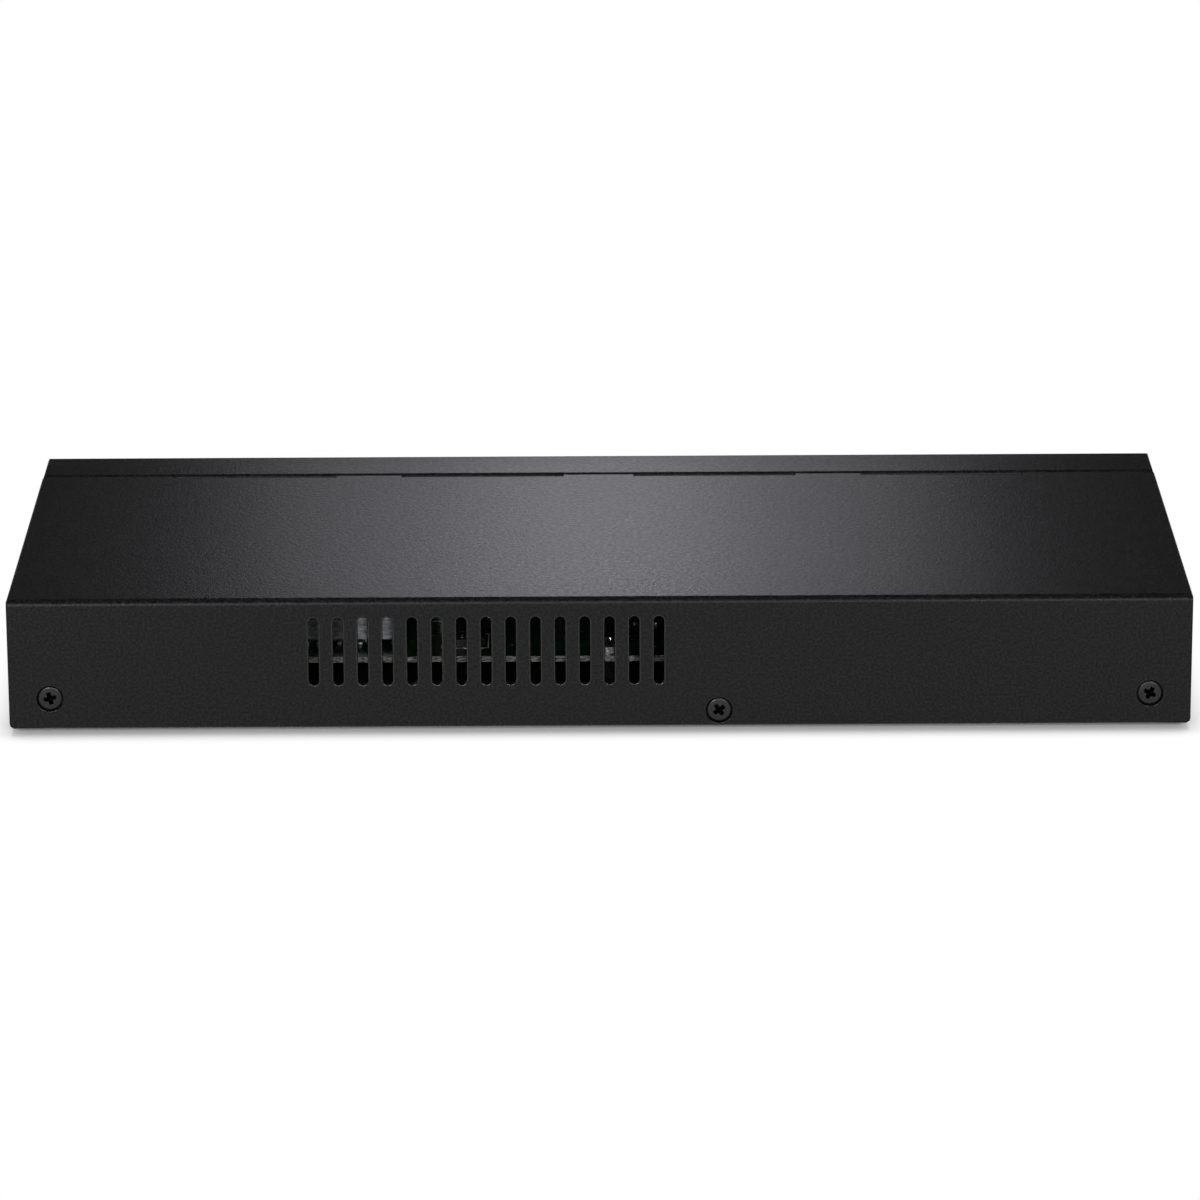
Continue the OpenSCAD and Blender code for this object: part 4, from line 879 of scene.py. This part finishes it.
def sleevedCan(look, node):
    # can in its sleeve: profile with a crimped bead low down and a rounded shoulder that laps over the top
    radius, tall = sizeOf(node)[[0, 2]] / (2, 1)
    turn = np.linspace(0, np.pi, 7)[:, None]
    bead = np.hstack([radius - look["beadDeep"] * np.sin(turn), look["bead"] + look["beadHigh"] * turn / np.pi])
    arc, over = np.linspace(0, np.pi / 2, 5)[:, None], look["shoulder"]
    shoulder = np.hstack([radius - over * (1 - np.cos(arc)), tall - over * (1 - np.sin(arc))])
    lip, sunk, foot = radius - over - look["lip"], tall - look["lipThick"], look["foot"]
    profile = np.vstack([[(0, 0), (radius - foot, 0), (radius, foot)], bead, shoulder,
                         [(lip, tall), (lip, sunk), (0, sunk)]])
    return lathe(profile, middleOf(node), look["steps"])


def canTop(look, node):
    # bare end of the can inside the sleeve's lip, on a polar grid: height falls in a cross of scored vent lines
    radius = sizeOf(node)[0] / 2 - look["shoulder"] - look["lip"] - 0.02
    turn, out = np.linspace(0, 2 * np.pi, look["steps"], endpoint=False), np.linspace(0, radius, 14)[:, None]
    x, y = out * np.cos(turn), out * np.sin(turn)
    score = np.exp(-(np.minimum(abs(x), abs(y)) / look["ventWide"]) ** 2) * (out < radius * look["ventReach"])
    top = np.stack([x, y, -look["vent"] * score], -1)
    under = top[::-1] * (1, 1, 0) - (0, 0, 0.2)
    level = (*middleOf(node)[:2], boxOf(node)[1][2] - 0.03)  # just under the lip
    return surfaceGrid(np.concatenate([top, under]) + level, wrapColumns=True)


# solder tabs: along, across and up, their rounding, how far they stand off the board, and how far out they sit
tabLook = dict(
    foot=dict(size=(0.8, 1.7, 0.2), edge=0.05, corner=0.08, level=0.02, out=0.3, steps=1),
    coil=dict(size=(1.0, 2.6, 1.1), edge=0.12, corner=0.2, level=0.02, out=0, steps=2),
    choke=dict(size=(0.5, 3.0, 0.9), edge=0.1, corner=0.15, level=0.02, out=3.5, steps=2),
    fuse=dict(size=(0.8, 3.2, 1.16), edge=0.1, corner=0.15, level=0, out=1.9, steps=2))
chokeLook = dict(edge=0.35, corner=0.6)
fuseLook = dict(size=(3.8, 3.1, 1.1), edge=0.15, corner=0.2, level=0.03)


def tabsAt(node, look, axis=0, half=0.0):
    # a pair of solder tabs, one each way from a node's middle
    block = softBlock((0, 0, look["level"]), look["size"], look["edge"], look["corner"], steps=look["steps"])
    shift = np.eye(3)[axis] * (half + look["out"])
    return atPlaces(block, [middleOf(node) + way * shift for way in (-1, 1)])


buildPiece("capacitorSleeves", [sleevedCan(canLook, node) for node in canNodes], sleeve, canNodes, 40)
buildPiece("capacitorTops", [canTop(canLook, node) for node in canNodes], canMetal, (), 60)
tabShapes = []
for n in (1, 2, 3):
    foot = f"capacitor_foot_{n}"
    roundedCopy(f"capacitorFoot_{n}", foot, glassNylon, 0.12)
    tabShapes.append(tabsAt(foot, tabLook["foot"], 1, sizeOf(foot)[1] / 2))
for n in (1, 2):
    coil = f"power_inductor_{n}"
    roundedCopy(f"powerInductor_{n}", coil, ferrite, 0.2, 3)
    tabShapes.append(tabsAt(coil, tabLook["coil"], half=sizeOf(coil)[0] / 2))
choke = softBlock(middleOf("input_choke"), sizeOf("input_choke"), **chokeLook, steps=3)
buildPiece("inputChoke", [choke], ferrite, ("input_choke",), 50)
fuse = softBlock(middleOf("input_fuse") + (0, 0, fuseLook["level"]), fuseLook["size"], fuseLook["edge"],
                 fuseLook["corner"], steps=3)
buildPiece("inputFuse", [fuse], fuseResin, ("input_fuse",), 50)
tabShapes += [tabsAt("input_choke", tabLook["choke"]), tabsAt("input_fuse", tabLook["fuse"])]
buildPiece("solderTabs", tabShapes, tinnedLead, (), 50)

crystalLook = dict(flange=0.5, edge=0.1, canX=0.5, canY=0.7, foot=0.12, top=0.42, steps=9)


def crystalCan(look):
    # drawn can on its welded flange: a round-ended outline carried up a profile of (how far in, height), with the
    # inset a little more along y than x
    half, tall = sizeOf("crystal") / 2, sizeOf("crystal")[2]
    turn = np.linspace(0, np.pi / 2, 5)
    flange, edge, top = look["flange"], look["edge"], look["top"]
    # (share of the can's inset, height) from the flange's underside to the foot of the can
    inset, height = np.array([(edge, 0), (0, edge), (0, flange - edge), (edge, flange), (0.82, flange),
                              (1, flange + look["foot"])]).T
    level = np.concatenate([height, tall - top * (1 - np.sin(turn))])
    inX, inY = (np.concatenate([inset * wide, wide + top * (1 - np.cos(turn))])
                for wide in (look["canX"], look["canY"]))
    outline = roundedRect(half[0] - inX, half[1] - inY, half[0] - inX - 0.001, look["steps"])
    rings = np.concatenate([outline, np.repeat(level[:, None, None], outline.shape[1], 1)], -1)
    under = np.zeros_like(rings[:1])
    over = rings[-1:] * (0, 1 - half[0] / half[1], 1)
    return surfaceGrid(np.concatenate([under, rings, over]) + middleOf("crystal"), wrapColumns=True)


buildPiece("crystalCan", [crystalCan(crystalLook)], nickelCan, ("crystal",), 50)
roundedCopy("testHeader", "test_header", glassNylon, 0.3)

headerLook = dict(width=0.64, pitch=2.54, point=0.6, tip=0.45)


def headerPins(look):
    # square pins with tapered points: a section carried straight up, drawn in at the tip
    middle, tall = middleOf("test_header_pins"), sizeOf("test_header_pins")[2]
    pin = turned(bentBar([(0, 0), (tall - look["point"], 0), (tall, 0)], strip(look["width"], look["width"]),
                         (1, 1, look["tip"])), 90, "X")
    return atPlaces(pin, [middle + ((n - 1.5) * look["pitch"], 0, 0) for n in range(4)])


buildPiece("testHeaderPins", [headerPins(headerLook)], contactGold, ("test_header_pins",), 30)
print("power parts done")


# small chips soldered on the board, and the printed outlines

# a cap stands proud of the body all round, and wraps over its end
chipLook = dict(long=1.6, wide=0.8, tall=0.5, edge=0.05, corner=0.06, lift=0.03, cap=0.32, capEdge=0.06,
                capCorner=0.08, proud=0.04, wrap=0.06)
portMiddles = [x for side in portSpots.values() for x, _, _ in side]
# groups of chips: their kind, whether they stand along y, and lines of them as first spot, step in x and y, count
chipGroups = dict(
    terminations=("resistor", True, [(x - 4.5, -11.6, 1.5, 0, 7) for x in portMiddles]),
    portFilters=("capacitor", False, [(x - 3.6, -29.9, 3.6, 0, 3) for x in portMiddles]),
    chipDecoupling=("capacitor", True, [(47.5, 19.9, 2.2, 0, 9), (43.2, -0.5, 0, 2.4, 7), (69.6, -0.5, 0, 2.4, 7)]),
    clockParts=("capacitor", True, [(29.0, -4.5, 0, 3.0, 2), (37.4, -4.5, 0, 3.0, 2)]),
    memoryParts=("resistor", True, [(18.0, -3.0, 0, 2.5, 2), (16.2, -3.0, 0, 2.5, 2), (21.0, 3.4, 2.4, 0, 3)]),
    regulatorCaps=("capacitor", True, [(-80.5, -6.5, -2.0, 0, 3), (-71.0, -2.6, 1.9, 0, 4),
                                       (-47.0, -24.5, 1.9, 0, 4), (-54.0, -19.0, 1.9, 0, 3)]),
    regulatorResistors=("resistor", True, [(-79.0, -1.4, 1.9, 0, 5), (-47.0, -21.0, 1.9, 0, 4),
                                           (-58.0, -14.0, 0, 4.0, 2)]),
    resetParts=("resistor", True, [(-75.5, -45.0, 0, 3.0, 2), (-64.4, -45.0, 0, 0, 1), (-79.5, -46.5, 0, 3.0, 2)]),
    sparePads=("capacitor", False, [(-24.0, 8.0, 3.2, 0, 6), (-24.0, 14.0, 3.2, 0, 4), (86.0, -2.0, 3.4, 0, 5)]),
    indicatorParts=("resistor", True, [(76.5, 6.0, 1.9, 0, 9), (76.5, 10.5, 1.9, 0, 9)]))


def chipShapes(look, upright, lines):
    # one chip is a body with a wrapped cap at each end; the same pair of shapes is set at every spot
    spots = [(x + k * stepX, y + k * stepY, deckTop) for x, y, stepX, stepY, count in lines for k in range(count)]
    body, cap = (look["long"], look["wide"]), (look["cap"], look["wide"] + look["proud"])
    way = np.array([1, 0, 0])
    if upright:
        body, cap, way = body[::-1], cap[::-1], way[[1, 0, 2]]
    body = softBlock((0, 0, look["lift"]), (*body, look["tall"] - look["proud"]), look["edge"], look["corner"], steps=1)
    cap = softBlock((0, 0, 0), (*cap, look["tall"]), look["capEdge"], look["capCorner"], steps=1)
    caps = atPlaces(cap, [way * end * (look["long"] - look["cap"] + look["wrap"]) / 2 for end in (-1, 1)])
    return atPlaces(body, spots), atPlaces(caps, spots)


chipEnds = []
for pieceName, kind, fired in (("chipCapacitors", "capacitor", ceramic),
                               ("chipResistors", "resistor", resistorGlaze)):
    pairs = [chipShapes(chipLook, upright, lines) for own, upright, lines in chipGroups.values() if own == kind]
    buildPiece(pieceName, [body for body, _ in pairs], fired, (), 50)
    chipEnds += [caps for _, caps in pairs]
buildPiece("chipEnds", chipEnds, tinnedLead, (), 50)

inkLook = dict(line=0.18, high=0.02, margin=0.7)
inkShapes = []
for node in ("memory_chip", "regulator_chip_1", "regulator_chip_2", "surge_diode", "input_fuse", "input_choke",
             "crystal", "test_header", "power_inductor_1", "power_inductor_2", "capacitor_foot_1", "capacitor_foot_2",
             "capacitor_foot_3"):
    wide = sizeOf(node)[:2] + 2 * inkLook["margin"]
    inkShapes.append(lineFrame(middleOf(node) + (0, 0, 0.001), wide, inkLook["line"], inkLook["high"]))
buildPiece("boardPrint", inkShapes, whiteInk, (), 30)
print("board done")


# stage, light and camera

stageLook = dict(floorHalf=6.0, floorColour="#f2f2f2", floorGlow=0.03, footprint=(117.0, 49.5), whiteTo=9.9,
                 worldStrength=0.30, sweep=0.8, dim=0.052, horizon=0.04)


def seenRays(tree):
    # 1 for rays from the camera, or from a mirror or glass that shows what is round it
    rays = addNode(tree, "LightPath").outputs
    mirror = addNode(tree, "Math", {0: rays["Is Glossy Ray"], 1: rays["Is Transmission Ray"]}, operation="MAXIMUM")
    seen = addNode(tree, "Math", {0: rays["Is Camera Ray"], 1: mirror}, operation="MAXIMUM")
    return seen, rays["Is Camera Ray"]


def paperFloor(look):
    # matt white paper sweep: takes the object's soft shadow near it and runs out to plain white
    material = bpy.data.materials.new("paperSweep")
    material.use_nodes = True
    tree = material.node_tree
    tree.nodes.clear()
    place = addNode(tree, "TexCoord").outputs["Object"]
    seen, _ = seenRays(tree)
    # distance out from the object's footprint: how far each axis is past its half size, never below nought
    level = addNode(tree, "VectorMath", {0: place}, operation="ABSOLUTE")
    half = [length * mm for length in look["footprint"]] + [0.0]
    past = addNode(tree, "VectorMath", {0: level, 1: half}, operation="SUBTRACT")
    past = addNode(tree, "VectorMath", {0: past, 1: (0, 0, 0)}, operation="MAXIMUM")
    away = addNode(tree, "VectorMath", {0: past}, operation="LENGTH").outputs["Value"]
    plain = addNode(tree, "MapRange", {"Value": away, "From Max": look["whiteTo"] * mm},
                    interpolation_type="SMOOTHSTEP")
    paper = addNode(tree, "BsdfDiffuse", {"Color": linear(look["floorColour"])})
    glow = addNode(tree, "Math", {0: seen, 1: look["floorGlow"]}, operation="MULTIPLY")
    shaded = addNode(tree, "AddShader", {0: paper, 1: addNode(tree, "Emission", {"Strength": glow})})
    white = addNode(tree, "Emission", {"Strength": 1.0})
    share = addNode(tree, "Math", {0: seen, 1: plain}, operation="MULTIPLY")
    top = addNode(tree, "MixShader", {0: share, 1: shaded, 2: white})
    below = addNode(tree, "NewGeometry").outputs["Backfacing"]  # seen from underneath, the sheet isn't there
    whole = addNode(tree, "MixShader", {0: below, 1: top, 2: addNode(tree, "BsdfTransparent")})
    addNode(tree, "OutputMaterial", {"Surface": whole})
    return material


def makeStage(look):
    half = look["floorHalf"]
    mesh = bpy.data.meshes.new("floorSheet")
    mesh.from_pydata([(-half, -half, 0), (half, -half, 0), (half, half, 0), (-half, half, 0)], [], [(0, 1, 2, 3)])
    mesh.materials.append(paperFloor(look))
    floor = bpy.data.objects.new("floorSheet", mesh)
    bpy.context.scene.collection.objects.link(floor)

    world = bpy.data.worlds.new("softStudio")
    bpy.context.scene.world = world
    world.use_nodes = True
    world.cycles.sampling_method = "NONE"
    tree = world.node_tree
    tree.nodes.clear()
    seen, fromCamera = seenRays(tree)
    height = addNode(tree, "SeparateXYZ", {0: addNode(tree, "TexCoord").outputs["Generated"]}).outputs["Z"]
    # mirror rays meet the white sweep low down and the dim studio above it; the camera sees plain white
    above = addNode(tree, "MapRange", {"Value": height, "From Max": look["horizon"], "To Min": look["sweep"],
                                       "To Max": look["dim"]})
    shown = addNode(tree, "Math", {0: above, 1: fromCamera}, operation="MAXIMUM")
    lit = addNode(tree, "Background", {"Strength": look["worldStrength"]})
    back = addNode(tree, "Background", {"Color": (1, 1, 1, 1), "Strength": shown})
    addNode(tree, "OutputWorld", {"Surface": addNode(tree, "MixShader", {0: seen, 1: lit, 2: back})})


# each lamp's place, what it points at, its size, and whether matt and shiny surfaces are lit by it
lampLook = dict(
    behindCard=dict(at=(0, -300, 150), aim=(0, 0, 28), size=(175, 90), watts=0.101, colour="#f7f6ff", diffuse=False),
    behindCore=dict(at=(0, -290, 148), aim=(0, 0, 28), size=(60, 90), watts=0.048, colour="#f7f6ff", diffuse=False),
    overheadBox=dict(at=(0, -65, 900), aim=(0, -65, 0), size=(700, 250), watts=6.0, glossy=False),
    rearLeftBox=dict(at=(-400, 1250, 500), aim=(0, 50, 28), size=(300, 240), watts=7.6),
    rearRightBox=dict(at=(380, 1250, 500), aim=(0, 50, 28), size=(300, 240), watts=5.2),
    slotKey=dict(at=(400, 1250, 330), aim=(0, 50, 28), size=(50, 90), watts=3.8))


def makeLamp(name, at, aim, size, watts, colour="#ffffff", diffuse=True, glossy=True):
    lamp = bpy.data.lights.new(name, "AREA")
    lamp.shape, lamp.size, lamp.size_y = "RECTANGLE", size[0] * mm, size[1] * mm
    lamp.energy, lamp.color = watts, linear(colour)[:3]
    holder = bpy.data.objects.new(name, lamp)
    bpy.context.scene.collection.objects.link(holder)
    holder.location = Vector(at) * mm
    holder.rotation_euler = (Vector(aim) * mm - holder.location).to_track_quat("-Z", "Y").to_euler()
    holder.visible_camera, holder.visible_diffuse, holder.visible_glossy = False, diffuse, glossy


cameraLook = dict(at=(1.21, 1242.05, 400.19), yaw=-0.0011, pitch=0.3030, roll=-0.0048, lens=185.11, sensor=36.0)


def makeCamera(look):
    yaw, pitch, roll = look["yaw"], look["pitch"], look["roll"]
    forward = Vector((math.sin(yaw) * math.cos(pitch), -math.cos(yaw) * math.cos(pitch), -math.sin(pitch)))
    right = forward.cross(Vector((0, 0, 1))).normalized()
    up = right.cross(forward)
    rolledRight = math.cos(roll) * right + math.sin(roll) * up
    rolledUp = -math.sin(roll) * right + math.cos(roll) * up
    camera = bpy.data.cameras.new("camera")
    camera.lens, camera.sensor_width = look["lens"], look["sensor"]
    camera.clip_start, camera.clip_end = 0.05, 50
    holder = bpy.data.objects.new("camera", camera)
    bpy.context.scene.collection.objects.link(holder)
    turn = Matrix((rolledRight, rolledUp, -forward)).transposed()
    holder.matrix_world = Matrix.Translation(Vector(look["at"]) * mm) @ turn.to_4x4()
    bpy.context.scene.camera = holder


makeStage(stageLook)
for name, look in lampLook.items():
    makeLamp(name, **look)
makeCamera(cameraLook)
bpy.context.scene.view_settings.view_transform = "Standard"
print("stage, lamps and camera set")
